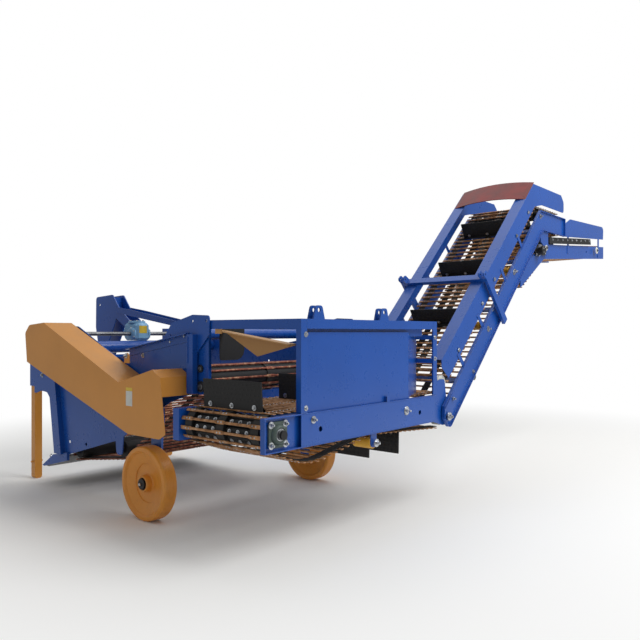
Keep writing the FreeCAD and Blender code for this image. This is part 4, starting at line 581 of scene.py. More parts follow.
class Belt:
    """A rod belt: its path in an upright plane, and how it lies across that plane."""

    def __init__(self, wheels, closed, outside, plane, start, length, straps, rods="steel_rods"):
        self.runs = tangent_path(wheels + wheels[:2])[:-1] if closed else tangent_path(wheels)
        self.closed = closed
        self.outside = outside
        self.plane = plane
        self.start = start
        self.length = length
        self.straps = straps
        self.rods = rods
        self.far = sum(run_length(run) for run in self.runs)
        pitch = bpy.context.scene.harvester_sizes.rod_pitch
        self.count = int(self.far / pitch)
        self.step = self.far / self.count

    def where(self, along, across, lift, ahead=0.0):
        """A point by distance along the belt, across it, out from the rods' middle, and ahead."""
        a, z, heading = on_path(self.runs, along)
        a += ahead * math.cos(heading) - self.outside * lift * math.sin(heading)
        z += ahead * math.sin(heading) + self.outside * lift * math.cos(heading)
        if self.plane == "XZ":
            return spot(a, across, z)
        return spot(-across, a, z)

    def add_strap(self, solid, across):
        """A ply strap under the rods, bent round every wheel, with rubbed outer corners."""
        stations = []
        done = 0.0
        for run in self.runs:
            far = run_length(run)
            bends = max(1, math.ceil(abs(run[4]) / BEND_STEP)) if run[0] == "arc" else 1
            stations += [done + far * step / bends for step in range(bends)]
            done += far
        if not self.closed:
            stations.append(done)
        top = -STRAP_SEAT
        low = -STRAP_SEAT - STRAP_THICK
        cut = 0.0015
        left = [(cut, low), (0, low + cut), (0, top - cut), (cut, top)]
        right = [(STRAP_WIDE - y, lift) for y, lift in reversed(left)]
        rings = []
        for along in stations:
            along = min(max(along, 1e-5), self.far - 1e-5)
            rings.append([self.where(along, across + y, lift) for y, lift in left + right])
        solid.rings(rings, "belt_ply", closed=self.closed)

    def add_rod(self, solid, along):
        """A round rod whose ends, and its middle on a strap, are forged flat and riveted down."""
        radius = bpy.context.scene.harvester_sizes.rod_diameter / 2
        flat_wide, flat_high = radius * 1.55, radius * 0.5
        flats = sorted((strap - self.start, strap - self.start + STRAP_WIDE) for strap in self.straps)
        stations = []
        for number, (begin, end) in enumerate(flats):
            if number == 0:
                stations.append((0.0, True))
            else:
                stations += [(begin - FLAT_RUNOUT, False), (begin, True)]
            if number == len(flats) - 1:
                stations.append((self.length, True))
            else:
                stations += [(end, True), (end + FLAT_RUNOUT, False)]
        rings = []
        lean = random.uniform(-0.0012, 0.0012)
        for across, flat in stations:
            wide, high = (flat_wide, flat_high) if flat else (radius, radius)
            lift = (flat_high - STRAP_SEAT) if flat else 0.0
            rings.append([self.where(along, self.start + across, lift + high * out, wide * ahead + lean)
                          for ahead, out in circle(8, 1.0, 0.5)])
        solid.rings(rings, self.rods)
        for strap in self.straps:
            for share in (0.28, 0.72):
                self.add_rivet(solid, along, strap + STRAP_WIDE * share, 2 * flat_high - STRAP_SEAT)

    def add_rivet(self, solid, along, across, lift):
        """A low rivet head on a rod's flat: plated, or rusted like the rods of the web."""
        head = 0.0055
        rings = []
        for out, share in ((0.0, 1.0), (0.0018, 0.85), (0.003, 0.35)):
            rings.append([self.where(along, across + aside, lift + out, ahead)
                          for ahead, aside in circle(6, head * share)])
        solid.rings(rings, "zinc" if self.rods == "steel_rods" else self.rods)

    def add_flight(self, solid, along, height, lean):
        """A black flight: a foot bolted to an angle on its rod, and a blade with moulded dimples."""
        thick, foot, corner = 0.010, 0.045, 0.004
        low, high = self.start + BELT_FACE, self.start + self.length - BELT_FACE
        reach = height - foot
        tip = math.tan(lean) * reach
        blade = [(0, 0), (0, foot), (tip, height - corner), (tip + 0.003, height),
                 (tip + thick - 0.002, height), (tip + thick, height - corner), (thick, foot), (thick, 0)]
        angle = [(-0.004, 0.004), (-0.004, foot - 0.004), (0, foot - 0.004), (0, 0.008), (-0.026, 0.008),
                 (-0.026, 0.004)]
        # The angle behind the foot is a little shorter than the blade.
        for profile, inset in ((blade, 0.0), (angle, 0.006)):
            rings = []
            for across in (low + inset, high - inset):
                rings.append([self.where(along, across, lift, ahead - thick / 2) for ahead, lift in profile])
            solid.rings(rings, "rubber_black")
        for share in (0.12, 0.5, 0.88):
            across = low + (high - low) * share
            for face, way in ((-thick / 2 - 0.004, -1), (thick / 2, 1)):
                at = self.where(along, across, FLIGHT_BOLT, face)
                solid.bolt(at, self.where(along, across, FLIGHT_BOLT, face + way * 0.01) - at, 0.015)
        # Rows of moulded dimples on both faces of the blade.
        rows, columns = 4, 15
        for row in range(rows):
            lift = foot + reach * (row + 0.7) / (rows + 0.4)
            ahead = math.tan(lean) * (lift - foot)
            for column in range(columns):
                across = low + (high - low) * (column + 0.5 + 0.25 * (row % 2)) / (columns + 0.3)
                for face, way in ((-thick / 2, -1), (thick / 2, 1)):
                    self.add_dimple(solid, along, across, lift, ahead + face, way)

    def add_dimple(self, solid, along, across, lift, face, way):
        rings = []
        for out, share in ((0.0, 1.0), (0.0012, 0.75), (0.0014, 0.3)):
            rings.append([self.where(along, across + aside, lift + up, face + way * out)
                          for up, aside in circle(6, 0.008 * share)])
        solid.rings(rings, "rubber_black")

    def build(self, name, body, nodes, flights=(), height=0.145, lean=math.radians(12)):
        """Gathers the belt; an open belt has no rod at either end."""
        solid = Solid()
        for strap in self.straps:
            self.add_strap(solid, strap)
        for number in range(0 if self.closed else 1, self.count):
            self.add_rod(solid, number * self.step)
        for along in flights:
            self.add_flight(solid, round(along / self.step) * self.step, height, lean)
        return solid.finish(name, body, replaces=nodes, slot="steel_rods")


def three_straps(start, length, edge):
    """Where a belt's two edge straps and its middle one begin, across it."""
    return (start + edge, start + length / 2 - STRAP_WIDE / 2, start + length - edge - STRAP_WIDE)


def web_belt():
    wheels = [(2.420, 0.320, 0.070, 1), (1.050, 0.950, 0.090, 1), (1.800, 0.400, 0.070, 1)]
    start = -WEB_WIDE / 2
    return Belt(wheels, True, -1, "YZ", start, WEB_WIDE, three_straps(start, WEB_WIDE, 0.060), "web_rods")


def cross_belt():
    disc_x = PIVOT[0] - 0.040
    wheels = [
        (disc_x + 0.041, 0.829, 0, 1),
        (disc_x, 0.884, 0.066, -1),
        (*END_ROLLER, 1),
        (-0.560, 1.015, 0.5, 1),
        (-0.016, 0.558, 0.051, -1),
        (0.845, 0.558, 0, 1),
    ]
    straps = three_straps(ROD_START, ROD_LENGTH, EDGE_STRAP)
    return Belt(wheels, False, -1, "XZ", ROD_START, ROD_LENGTH, straps)


def elevator_points():
    """The nose roller and the two rollers that turn the belt at the knee."""
    up, down, bend_r, nose = 0.130, 0.090, 0.070, 0.590
    knee = slope(*KNEE)
    end = (knee[0] + nose - 0.130, knee[1] + (up - down) / 2)
    bisect = math.pi / 2 + LEAN / 2
    low = (down + 0.060) / math.cos(LEAN / 2)
    rise = (up - bend_r) / math.cos(LEAN / 2)
    low_bend = (knee[0] - low * math.cos(bisect), knee[1] - low * math.sin(bisect))
    high_bend = (knee[0] + rise * math.cos(bisect), knee[1] + rise * math.sin(bisect))
    return end, low_bend, high_bend


def elevator_belt():
    end, low_bend, high_bend = elevator_points()
    start = slope(0.165, KNEE[1] + 0.130)
    wheels = [
        (*start, 0, -1),
        (*high_bend, 0.070, -1),
        (*end, 0.110, -1),
        (*low_bend, 0.060, 1),
        (*PIVOT, 0.080, -1),
    ]
    straps = three_straps(ROD_START, ROD_LENGTH, EDGE_STRAP)
    return Belt(wheels, False, 1, "XZ", ROD_START, ROD_LENGTH, straps)


def head_belt():
    low, high = node_box("head_belt")
    start = low.y - DATUM.y
    length = high.y - low.y
    wheels = [
        (2.330, 1.735, 0.062, -1),
        (2.800, 2.043, 0.062, -1),
        (4.450, 2.192, 0.062, -1),
        (2.860, 1.931, 0.050, 1),
    ]
    return Belt(wheels, True, 1, "XZ", start, length, (start + 0.020, start + length - 0.020 - STRAP_WIDE))


class HARVESTER_OT_rod_belts(bpy.types.Operator):
    """Make the rod web, the cross conveyor's belt, the elevator's belt and the head's belt"""
    bl_idname = "harvester.rod_belts"
    bl_label = "Rod belts"

    def execute(self, context):
        web_belt().build("rod_web", "machine", ("primary_web",))
        cross = cross_belt()
        begin = 0.901
        cross.build("cross_conveyor_belt", "machine", ("cross_belt", "cross_flights"),
                    (begin - 0.396, begin + 0.252, begin + 0.893, cross.far - 0.417, cross.far - 0.740),
                    context.scene.harvester_sizes.flight_height, math.radians(2))
        elevator = elevator_belt()
        top = sum(run_length(run) for run in elevator.runs[:4])
        elevator.build("elevator_rod_belt", "elevator", ("elevator_belt", "elevator_flights"),
                       (0.720, 1.310, 1.900, top - 0.100))
        head_belt().build("discharge_belt", "elevator", ("head_belt",))
        return {"FINISHED"}


# Rollers whose lagging is black on the machine, and so are finished darker than their slot.
DARK_ROLLERS = ("web_rollers", "cross_rollers", "elevator_rollers", "head_rollers")


# ---------------------------------------------------------------- finishes on the CAD nodes
class HARVESTER_OT_finishes(bpy.types.Operator):
    """Give every CAD node the finish of its real piece"""
    bl_idname = "harvester.finishes"
    bl_label = "Finishes"

    def execute(self, context):
        FINISH.update(stock())
        slots = {part["node"]: part["material_slot"] for part in frame["record"]["subparts"]}
        for name, thing in CAD.items():
            finish = slots[name]
            if name in DARK_ROLLERS:
                finish = "rubber_black"
            thing.data.materials.clear()
            thing.data.materials.append(FINISH[finish])
        return {"FINISHED"}


# ---------------------------------------------------------------- wheels
class HARVESTER_OT_wheels(bpy.types.Operator):
    """Make the two gauge wheels: a dished face, a rounded rim, a hub with its seal and a grooved tread"""
    bl_idname = "harvester.wheels"
    bl_label = "Gauge wheels"

    def execute(self, context):
        for side, name in ((-1, "gauge_wheel_left"), (1, "gauge_wheel_right")):
            low, high = node_box(name)
            centre = (low + high) / 2
            out = Vector((side, 0, 0))
            self.tyre(name, centre, out, (high.x - low.x) / 2, (high.z - low.z) / 2)
            # The axle's end carries a black cap washer and a nut.
            nut = Solid()
            end = centre + out * 0.062
            cap = [(-0.007, 0.036), (-0.001, 0.036), (0.002, 0.032), (0.002, 0.010)]
            nut.lathe(end, out, cap, "paint_dark", 32)
            nut.bolt(end + out * 0.003, out, 0.019, washer=False)
            nut.finish(name + "_axle_bolt", "machine", slot="steel_bare")
        return {"FINISHED"}

    def tyre(self, name, centre, out, half, radius):
        """One wheel turned from its bore over hub, dish and rim to the tread, alike on both faces."""
        wheel = Solid()
        hub = [(0.040, 0.0207), (0.040, 0.040), (half - 0.002, 0.042), (half, 0.046), (half - 0.001, 0.051),
               (half - 0.006, 0.054)]
        dish = [(0.012, 0.057), (0.006, 0.064), (0.005, 0.126), (0.007, 0.130), (0.013, 0.133),
                (half - 0.016, 0.205), (half - 0.005, 0.214)]
        rim = [(half - 0.001, 0.219), (half, 0.228), (half - 0.003, 0.242), (half - 0.010, radius - 0.002),
               (half - 0.016, radius)]
        tread = []
        for rib in (0.030, 0.018, 0.006):
            tread += [(rib + 0.0015, radius), (rib, radius - 0.0025), (rib - 0.0015, radius)]
        face = hub + dish + rim + tread
        profile = face + [(-x, r) for x, r in reversed(face)]
        wheel.lathe(centre, out, profile, "wheel_orange", 96, closed=True)
        seal = [(0.036, 0.0210), (half - 0.007, 0.0210), (half - 0.005, 0.024), (half - 0.006, 0.030),
                (half - 0.005, 0.036), (half - 0.007, 0.0398), (0.036, 0.0398)]
        for way in (out, -out):
            wheel.lathe(centre, way, seal, "rubber_black", 32, closed=True)
        wheel.finish(name + "_tyre", name, 32, replaces=(name,), slot="plastic_yellow")


# ---------------------------------------------------------------- bearings
class HARVESTER_OT_bearings(bpy.types.Operator):
    """Make the flange bearings of the end roller and the two round ones beside the box"""
    bl_idname = "harvester.bearings"
    bl_label = "Bearings"

    def execute(self, context):
        bearings = Solid()
        for face, way in ((0.028, -1), (0.730, 1)):
            self.square(bearings, spot(END_ROLLER[0], face, END_ROLLER[1]), way)
        bearings.finish("end_roller_bearings", "machine", replaces=("end_bearings",), slot="cast_grey")
        round_ones = Solid()
        for side in (-1, 1):
            for y, z, radius in ((0.867, 1.030, 0.025), (0.862, 0.915, 0.036)):
                self.round(round_ones, spot(side * HALF_WIDTH, y, z), side, radius)
        round_ones.finish("side_bearings", "machine", slot="paint_dark")
        return {"FINISHED"}

    def square(self, solid, at, way):
        """A cast square flange with rounded corners, a domed hub, an inner ring, a collar, four bolts and a
        grease nipple."""
        out = Vector((0, way, 0))
        half, corner = 0.0715, 0.020
        outline = []
        for turn in range(4):
            cx = (half - corner) * (1 if turn in (0, 3) else -1)
            cz = (half - corner) * (1 if turn in (0, 1) else -1)
            for step in range(7):
                angle = math.radians(90 * turn + 15 * step)
                outline.append((cx + corner * math.cos(angle), cz + corner * math.sin(angle)))
        rings = []
        for along, inset in ((0, 1.0), (0.010, 1.0), (0.013, 0.965)):
            rings.append([at + Vector((x * inset, way * along, z * inset)) for x, z in outline])
        solid.rings(rings, "cast_grey")
        dome = [(0.010, 0.058), (0.020, 0.055), (0.031, 0.048), (0.035, 0.044), (0.035, 0.038),
                (0.030, 0.036), (0.030, 0.020)]
        inner = [(0.026, 0.034), (0.032, 0.034), (0.033, 0.030), (0.033, 0.020)]
        collar = [(0.030, 0.029), (0.043, 0.029), (0.044, 0.027), (0.044, 0.0205)]
        solid.lathe(at, out, dome, "cast_grey", 40)
        solid.lathe(at, out, inner, "zinc", 32)
        solid.lathe(at, out, collar, "steel_bare", 32)
        for x in (-0.055, 0.055):
            for z in (-0.055, 0.055):
                solid.bolt(at + Vector((x, way * 0.012, z)), out, 0.019, stub=0.010)
        nipple = [(0, 0.004), (0.010, 0.004), (0.012, 0.003), (0.015, 0.003)]
        solid.lathe(at + Vector((0.030, way * 0.026, 0.038)), (0.4, way, 0.6), nipple, "zinc", 8)

    def round(self, solid, at, side, radius):
        """A round black flange bearing with the end of its shaft and a bolt in it."""
        out = Vector((side, 0, 0))
        flange = [(0, radius), (0.010, radius), (0.013, radius - 0.004), (0.013, radius * 0.66),
                  (0.009, radius * 0.6), (0.009, radius * 0.4)]
        shaft = [(0.004, radius * 0.55), (0.012, radius * 0.55), (0.014, radius * 0.4)]
        solid.lathe(at, out, flange, "paint_dark", 32)
        solid.lathe(at, out, shaft, "steel_bare", 24)
        solid.bolt(at + out * 0.013, out, radius * 0.5, "steel_bare", washer=False)


# ---------------------------------------------------------------- drives and rollers
class HARVESTER_OT_drives(bpy.types.Operator):
    """Make the end roller's lagging, the strap carriers, the head's motor and skirts, and the gearbox"""
    bl_idname = "harvester.drives"
    bl_label = "Rollers and drives"

    def execute(self, context):
        self.lagging()
        self.carriers()
        self.motor()
        self.skirts()
        self.gearbox()
        return {"FINISHED"}

    def lagging(self):
        """Black slats with round backs, bolted across the end roller between its strap wheels."""
        roller = Solid()
        x, z = END_ROLLER[:2]
        drum, back, slats = 0.062, 0.088, 10
        section = ((-0.021, 0.050), (-0.021, 0.080), (-0.014, back), (0.014, back), (0.021, 0.080),
                   (0.021, 0.050))
        straps = three_straps(ROD_START, ROD_LENGTH, EDGE_STRAP)
        for before, after in zip(straps, straps[1:]):
            start, stop = before + 0.070, after - 0.010
            roller.lathe(spot(x, start, z), FRONT, [(0, drum), (stop - start, drum)], "rubber_black", 40)
            for c, s in circle(slats, 1.0):
                rings = []
                for y, drop in ((start, 0.004), (start + 0.006, 0), (stop - 0.006, 0), (stop, 0.004)):
                    ring = []
                    for wide, high in section:
                        reach = high - (drop if high > drum else 0)
                        ring.append(spot(x + reach * c - wide * s, y, z + reach * s + wide * c))
                    rings.append(ring)
                roller.rings(rings, "rubber_black")
                out = Vector((c, 0, s))
                for y in (start + 0.030, (start + stop) / 2, stop - 0.030):
                    roller.bolt(spot(x, y, z) + out * back, out, 0.013)
        roller.finish("end_roller_lagging", "machine", slot="rubber_black")

    def carriers(self):
        """Yellow rollers that carry the edge straps, turning on the bolts through the side beams."""
        rollers = Solid()
        half = 0.040
        left = [(-half, 0.012), (-half, 0.034), (-half + 0.004, 0.038), (-half + 0.020, 0.0345)]
        profile = left + [(-along, radius) for along, radius in reversed(left)]
        for u in (0.938, 1.643):
            x, z = slope(u, 0.045)
            for middle in (0.092, 0.666):
                rollers.lathe(spot(x, middle, z), FRONT, profile, "plastic_yellow", 32)
            rollers.lathe(spot(x, 0.022, z), FRONT, [(0, 0.010), (0.714, 0.010)], "steel_bare", 16)
        rollers.finish("strap_carriers", "elevator", slot="plastic_yellow")

    def motor(self):
        """A hydraulic motor: its flange on the head's beam, a round body, an end cover and two ports."""
        low, high = node_box("head_motor")
        middle = (low + high) / 2
        motor = Solid()
        out = Vector(REAR)
        base = Vector((middle.x, high.y, middle.z))
        bolt_room = 0.008
        far = high.y - low.y - bolt_room
        flange, thick, body, cover = 0.048, 0.014, 0.042, 0.046
        corner = base - Vector((flange, thick, flange))
        motor.block(corner, base + Vector((flange, 0, flange)), "paint_dark", 0.004)
        profile = [(0.010, body), (far * 0.62, body), (far * 0.62, cover), (far * 0.92, cover),
                   (far - 0.003, 0.043), (far, 0.036)]
        motor.lathe(base, out, profile, "paint_dark", 40)
        for x, z in circle(5, 0.030):
            motor.bolt(base + out * (far - 0.004) + Vector((x, 0, z)), out, 0.011, washer=False)
        for x in (-0.034, 0.034):
            for z in (-0.034, 0.034):
                motor.bolt(base + Vector((x, -0.013, z)), out, 0.015)
        port = [(0, 0.012), (0.018, 0.012), (0.018, 0.015), (0.028, 0.015), (0.028, 0.008)]
        for x in (-0.018, 0.018):
            motor.lathe(base + Vector((x, -far * 0.4, 0.030)), UP, port, "zinc", 6)
        motor.finish("hydraulic_motor", "elevator", replaces=("head_motor",), slot="paint_dark")

    def skirts(self):
        """A black rubber strip bolted along each of the head's side beams seals the belt's edge."""
        strips = Solid()
        start, stop = Vector((2.900, 2.190)), Vector((4.080, 2.296))
        high, thick, bolts = 0.062, 0.006, 9
        for face, way in ((0.024, 1), (0.734, -1)):
            inner = face + way * thick
            rings = []
            for share in (0.0, 0.34, 0.67, 1.0):
                x, z = start.lerp(stop, share)
                wave = 0.003 * math.sin(share * 11)
                rings.append([spot(x, face + wave, z - high), spot(x, inner + wave, z - high),
                              spot(x, inner - wave, z), spot(x, face - wave, z)])
            strips.rings(rings, "rubber_black")
            for number in range(bolts):
                x, z = start.lerp(stop, (number + 0.6) / bolts)
                strips.bolt(spot(x, face, z - 0.022), (0, -way, 0), 0.012)
        strips.finish("head_skirts", "elevator", slot="rubber_black")

    def gearbox(self):
        """A cast right-angle gearbox: a rounded body, covers on its cross shaft, a lid and a neck."""
        low, high = node_box("gearbox")
        box = Solid()
        shaft_y, shaft_z = DATUM.y + 2.550, 1.250
        cover, neck, lid = 0.022, 0.055, 0.030
        top = Vector((high.x - cover, high.y - neck, high.z - lid))
        box.block(low + Vector((cover, 0, 0)), top, "paint_pale", 0.022)
        middle = (low + high) / 2
        lid_at = Vector((middle.x, (low.y + top.y) / 2, high.z - 0.034))
        profile = [(0, 0.070), (0.004, 0.074), (0.016, 0.074), (0.020, 0.070), (0.020, 0.030), (0.026, 0.026)]
        box.lathe(lid_at, UP, profile, "paint_pale", 40)
        for x, y in circle(6, 0.060):
            box.bolt(lid_at + Vector((x, y, 0.020)), UP, 0.011)
        profile = [(0, 0.058), (0.012, 0.058), (0.015, 0.054), (0.022, 0.046), (0.024, 0.042), (0.024, 0.020)]
        for way, face in ((-1, low.x), (1, high.x)):
            at = Vector((face - way * 0.024, shaft_y, shaft_z))
            box.lathe(at, (way, 0, 0), profile, "paint_pale", 40)
            for y, z in circle(6, 0.050, 0.5):
                box.bolt(at + Vector((way * 0.013, y, z)), (way, 0, 0), 0.010)
        profile = [(0, 0.062), (0.014, 0.062), (0.018, 0.056), (0.040, 0.040), (0.052, 0.034), (0.052, 0.020)]
        box.lathe(Vector((middle.x, high.y - 0.060, shaft_z + 0.010)), FRONT, profile, "paint_pale", 40)
        box.finish("cast_gearbox", "machine", replaces=("gearbox",), slot="paint_pale")


# ---------------------------------------------------------------- covers
class HARVESTER_OT_covers(bpy.types.Operator):
    """Make the plate that closes the rear beam flush with the posts, and the chain guard's catch"""
    bl_idname = "harvester.covers"
    bl_label = "Covers"

    def execute(self, context):
        plate = Solid()
        holes = [(DATUM.x + x, z) for x, z in ((-0.562, 0.708), (0.503, 0.704))]
        plate.pierced(spot(-0.727, 0.001, 0.6255), spot(0.699, 0.006, 0.8025), holes, 0.016, "paint_blue")
        plate.finish("beam_cover", "machine", slot="paint_blue")
        catch = Solid()
        base = spot(-0.850, 1.516, 1.085)
        half = 0.004
        outline = ((-0.030, -0.035), (0.030, -0.035), (0.022, 0.030), (-0.010, 0.036), (-0.026, 0.020))
        catch.slab([base + Vector((-half, y, z)) for y, z in outline], (2 * half, 0, 0), "paint_orange")
        catch.bolt(base + Vector((-half, 0.004, 0.016)), (-1, 0, 0), 0.017, stub=0.008)
        catch.bolt(base + Vector((half, 0.004, 0.016)), (1, 0, 0), 0.017)
        catch.finish("guard_catch", "machine", slot="paint_orange")
        return {"FINISHED"}


# ---------------------------------------------------------------- bolts, tabs and welds
class HARVESTER_OT_fasteners(bpy.types.Operator):
    """Put bolts, washers, tabs and weld beads where the frame's and the elevator's pieces join"""
    bl_idname = "harvester.fasteners"
    bl_label = "Bolts and welds"

    def execute(self, context):
        self.frame_bolts(context.scene.harvester_sizes.bolt)
        self.elevator_bolts(context.scene.harvester_sizes.bolt)
        self.welds(context.scene.harvester_sizes.weld)
        return {"FINISHED"}

    def frame_bolts(self, wide):
        bolts = Solid()
        # On the box's rear posts, and on the conveyor's beams.
        for x, z in ((-0.690, 1.252), (-0.690, 0.838), (0.703, 1.226), (0.703, 1.074)):
            bolts.bolt(spot(x, 0, z), REAR, wide * 0.8)
        bolts.bolt(spot(-0.625, 0.001, 0.767), REAR, wide * 1.1, stub=0.012)
        bolts.disc(spot(0.332, 0.001, 0.732), REAR, 0.030, 0.003, 0.010)
        bolts.bolt(spot(0.332, -0.002, 0.732), REAR, wide * 1.25, stub=0.016)
        bolts.bolt(spot(-0.625, 0.730, 0.767), FRONT, wide * 1.1, stub=0.012)
        bolts.bolt(spot(0.332, 0.730, 0.732), FRONT, wide * 1.25, stub=0.016)
        # A folded tab on the beam's upper flange.
        bolts.block(spot(0.098, 0.0, 0.809), spot(0.132, 0.004, 0.846), "paint_blue", 0.001)
        bolts.block(spot(0.098, 0.0, 0.809), spot(0.102, 0.026, 0.846), "paint_blue", 0.001)
        # The return roller's bracket bolts, and the pivot's washers and nuts.
        for y, way in ((0.0, -1), (0.758, 1)):
            bolts.bolt(spot(-0.016, y, 0.558), (0, way, 0), wide * 1.3, stub=0.010)
        for y, way in ((-0.0045, -1), (0.7625, 1)):
            bolts.disc(spot(PIVOT[0], y, PIVOT[1]), (0, way, 0), 0.031, 0.003, 0.012)
            bolts.bolt(spot(PIVOT[0], y + way * 0.003, PIVOT[1]), (0, way, 0), wide * 1.5, stub=0.008)
        # Along the side plates' shoulders, and where the plates meet the shovel and the headstock.
        shoulder = ((0.930, 1.326), (1.030, 1.236), (1.094, 1.254), (1.180, 1.198), (0.800, 1.325),
                    (1.500, 1.100), (1.700, 1.090), (2.250, 1.080))
        ends = ((2.620, 0.300), (2.800, 0.235), (2.960, 0.900), (2.960, 1.080))
        for side in (-1, 1):
            for places, share in ((shoulder, 0.8), (ends, 1)):
                for y, z in places:
                    bolts.bolt(spot(side * HALF_WIDTH, y, z), (side, 0, 0), wide * share)
        # A flat bar stands out from the left plate's shoulder.
        bolts.block(spot(-0.790, 0.930, 1.064), spot(-0.730, 0.938, 1.235), "paint_blue", 0.002)
        bolts.finish("frame_bolts", "machine", slot="steel_bare")

    def elevator_bolts(self, wide):
        bolts = Solid()
        # The side beams: carrier and tie bolts on wide washers, the foot's bolt, and small ones.
        for face, way in ((0.016, -1), (0.742, 1)):
            out = (0, way, 0)
            for u, n in ((0.938, 0.009), (1.643, 0.030), (2.455, 0.042), (1.660, 0.025)):
                x, z = slope(u, n)
                bolts.disc(spot(x, face, z), out, 0.024, 0.003, 0.010, 24)
                bolts.bolt(spot(x, face + way * 0.002, z), out, wide * 1.1, stub=0.010)
            x, z = slope(0.141, 0.040)
            bolts.disc(spot(x, face, z), out, 0.034, 0.004, 0.012)
            bolts.bolt(spot(x, face + way * 0.003, z), out, wide * 1.3, stub=0.012)
            for u, n in ((0.519, -0.058), (1.105, 0.070), (1.205, 0.070)):
                x, z = slope(u, n)
                bolts.bolt(spot(x, face, z), out, wide * 0.8)
        # One row along each side board.
        for face, way in ((0.011, -1), (0.747, 1)):
            for u in (0.465, 1.000, 1.301, 1.900, 2.250):
                x, z = slope(u, 0.235)
                bolts.bolt(spot(x, face, z), (0, way, 0), wide * 0.8)
        # The head: a white disc with a bolt on the end of each of two shafts.
        for face, way in ((0.022, -1), (0.736, 1)):
            out = (0, way, 0)
            for x, z, radius in ((2.808, 2.077, 0.026), (4.268, 2.188, 0.036)):
                profile = [(0, radius), (0.006, radius), (0.008, radius - 0.002), (0.008, 0.012)]
                bolts.lathe(spot(x, face, z), out, profile, "plastic_white", 32)
                bolts.bolt(spot(x, face + way * 0.007, z), out, wide * 0.9, "steel_bare")
        bolts.finish("elevator_bolts", "elevator", slot="steel_bare")

    def welds(self, radius):
        """Beads where box sections meet, painted over with the frame."""
        beads = Solid()
        low, high = node_box("toolbar")
        middle = (low + high) / 2
        tube = (high.z - low.z) / 2
        for side in (-1, 1):
            ring = circle(20, tube)
            ring.append(ring[0])
            path = [Vector((DATUM.x + side * 0.722, middle.y + y, middle.z + z)) for y, z in ring]
            beads.bead(path, radius, "paint_blue")
        for x, outwards in ((-0.680, -0.050), (0.680, 0.050)):
            upright = [spot(x, 0.001, BOX_TOP - RAIL), spot(x, 0.001, 1.338)]
            level = [spot(x, -0.0005, 0.812), spot(x + outwards, -0.0005, 0.812)]
            beads.bead(upright, radius * 0.6, "paint_blue")
            beads.bead(level, radius * 0.7, "paint_blue")
        beads.finish("weld_beads", "machine", slot="paint_blue")


# ---------------------------------------------------------------- sheet metal
class HARVESTER_OT_panels(bpy.types.Operator):
    """Make the box's rear sheet with its folded end and straps, and the bare label plates"""
    bl_idname = "harvester.panels"
    bl_label = "Panels and label plates"

    def execute(self, context):
        self.rear_sheet()
        self.labels()
        return {"FINISHED"}

    def rear_sheet(self):
        """A sheet behind the posts, a slot under the rail, and an end folded in towards the belt."""
        sheet = Solid()
        thick, low, slot = 0.003, 0.8095, 0.020
        top = BOX_TOP - RAIL - slot
        outline = [Vector(point) for point in ((-0.724, 0.020), (0.385, 0.020), (0.690, 0.150))]
        rings = []
        for number, point in enumerate(outline):
            before = outline[max(number - 1, 0)]
            after = outline[min(number + 1, len(outline) - 1)]
            way = (after - before).normalized()
            back = point + Vector((-way.y, way.x)) * thick
            # The folded end is cut lower at the top and higher at the foot.
            rise, drop = (0.012, 0.050) if number == 2 else (0.0, 0.0)
            rings.append([spot(*point, low + rise), spot(*point, top - drop), spot(*back, top - drop),
                          spot(*back, low + rise)])
        sheet.rings(rings, "paint_blue")
        # A hem along the foot, and a stiffening strip inside the top edge.
        sheet.block(spot(-0.683, 0.023, low), spot(0.385, 0.050, low + 0.003), "paint_blue", 0.001)
        sheet.block(spot(-0.683, 0.044, top - 0.030), spot(0.600, 0.047, top + 0.050), "paint_blue", 0.001)
        # Two straps from the folded end to the right post.
        strap = ((0.686, 0.006), (0.686, 0.014), (0.672, 0.150), (0.664, 0.143))
        for z in (1.210, 1.040):
            sheet.slab([spot(x, y, z) for x, y in strap], (0, 0, 0.032), "paint_blue")
        sheet.finish("rear_sheet", "machine", 20, replaces=("rear_panel",), slot="paint_blue")

    def labels(self):
        """Bare plates: a white and a yellow one on the guard's side, and one on the gearbox."""
        plates = Solid()
        guard, thick = -0.975, 0.0012
        for low, high, finish in ((0.780, 0.878, "label_white"), (0.880, 0.901, "label_yellow")):
            plates.block(spot(guard - thick, 1.264, low), spot(guard, 1.336, high), finish, 0.0005)
        plates.block(spot(-0.100, 2.4788, 1.255), spot(-0.020, 2.480, 1.320), "label_yellow", 0.0005)
        plates.finish("bare_plates", "machine", slot="plastic_yellow")


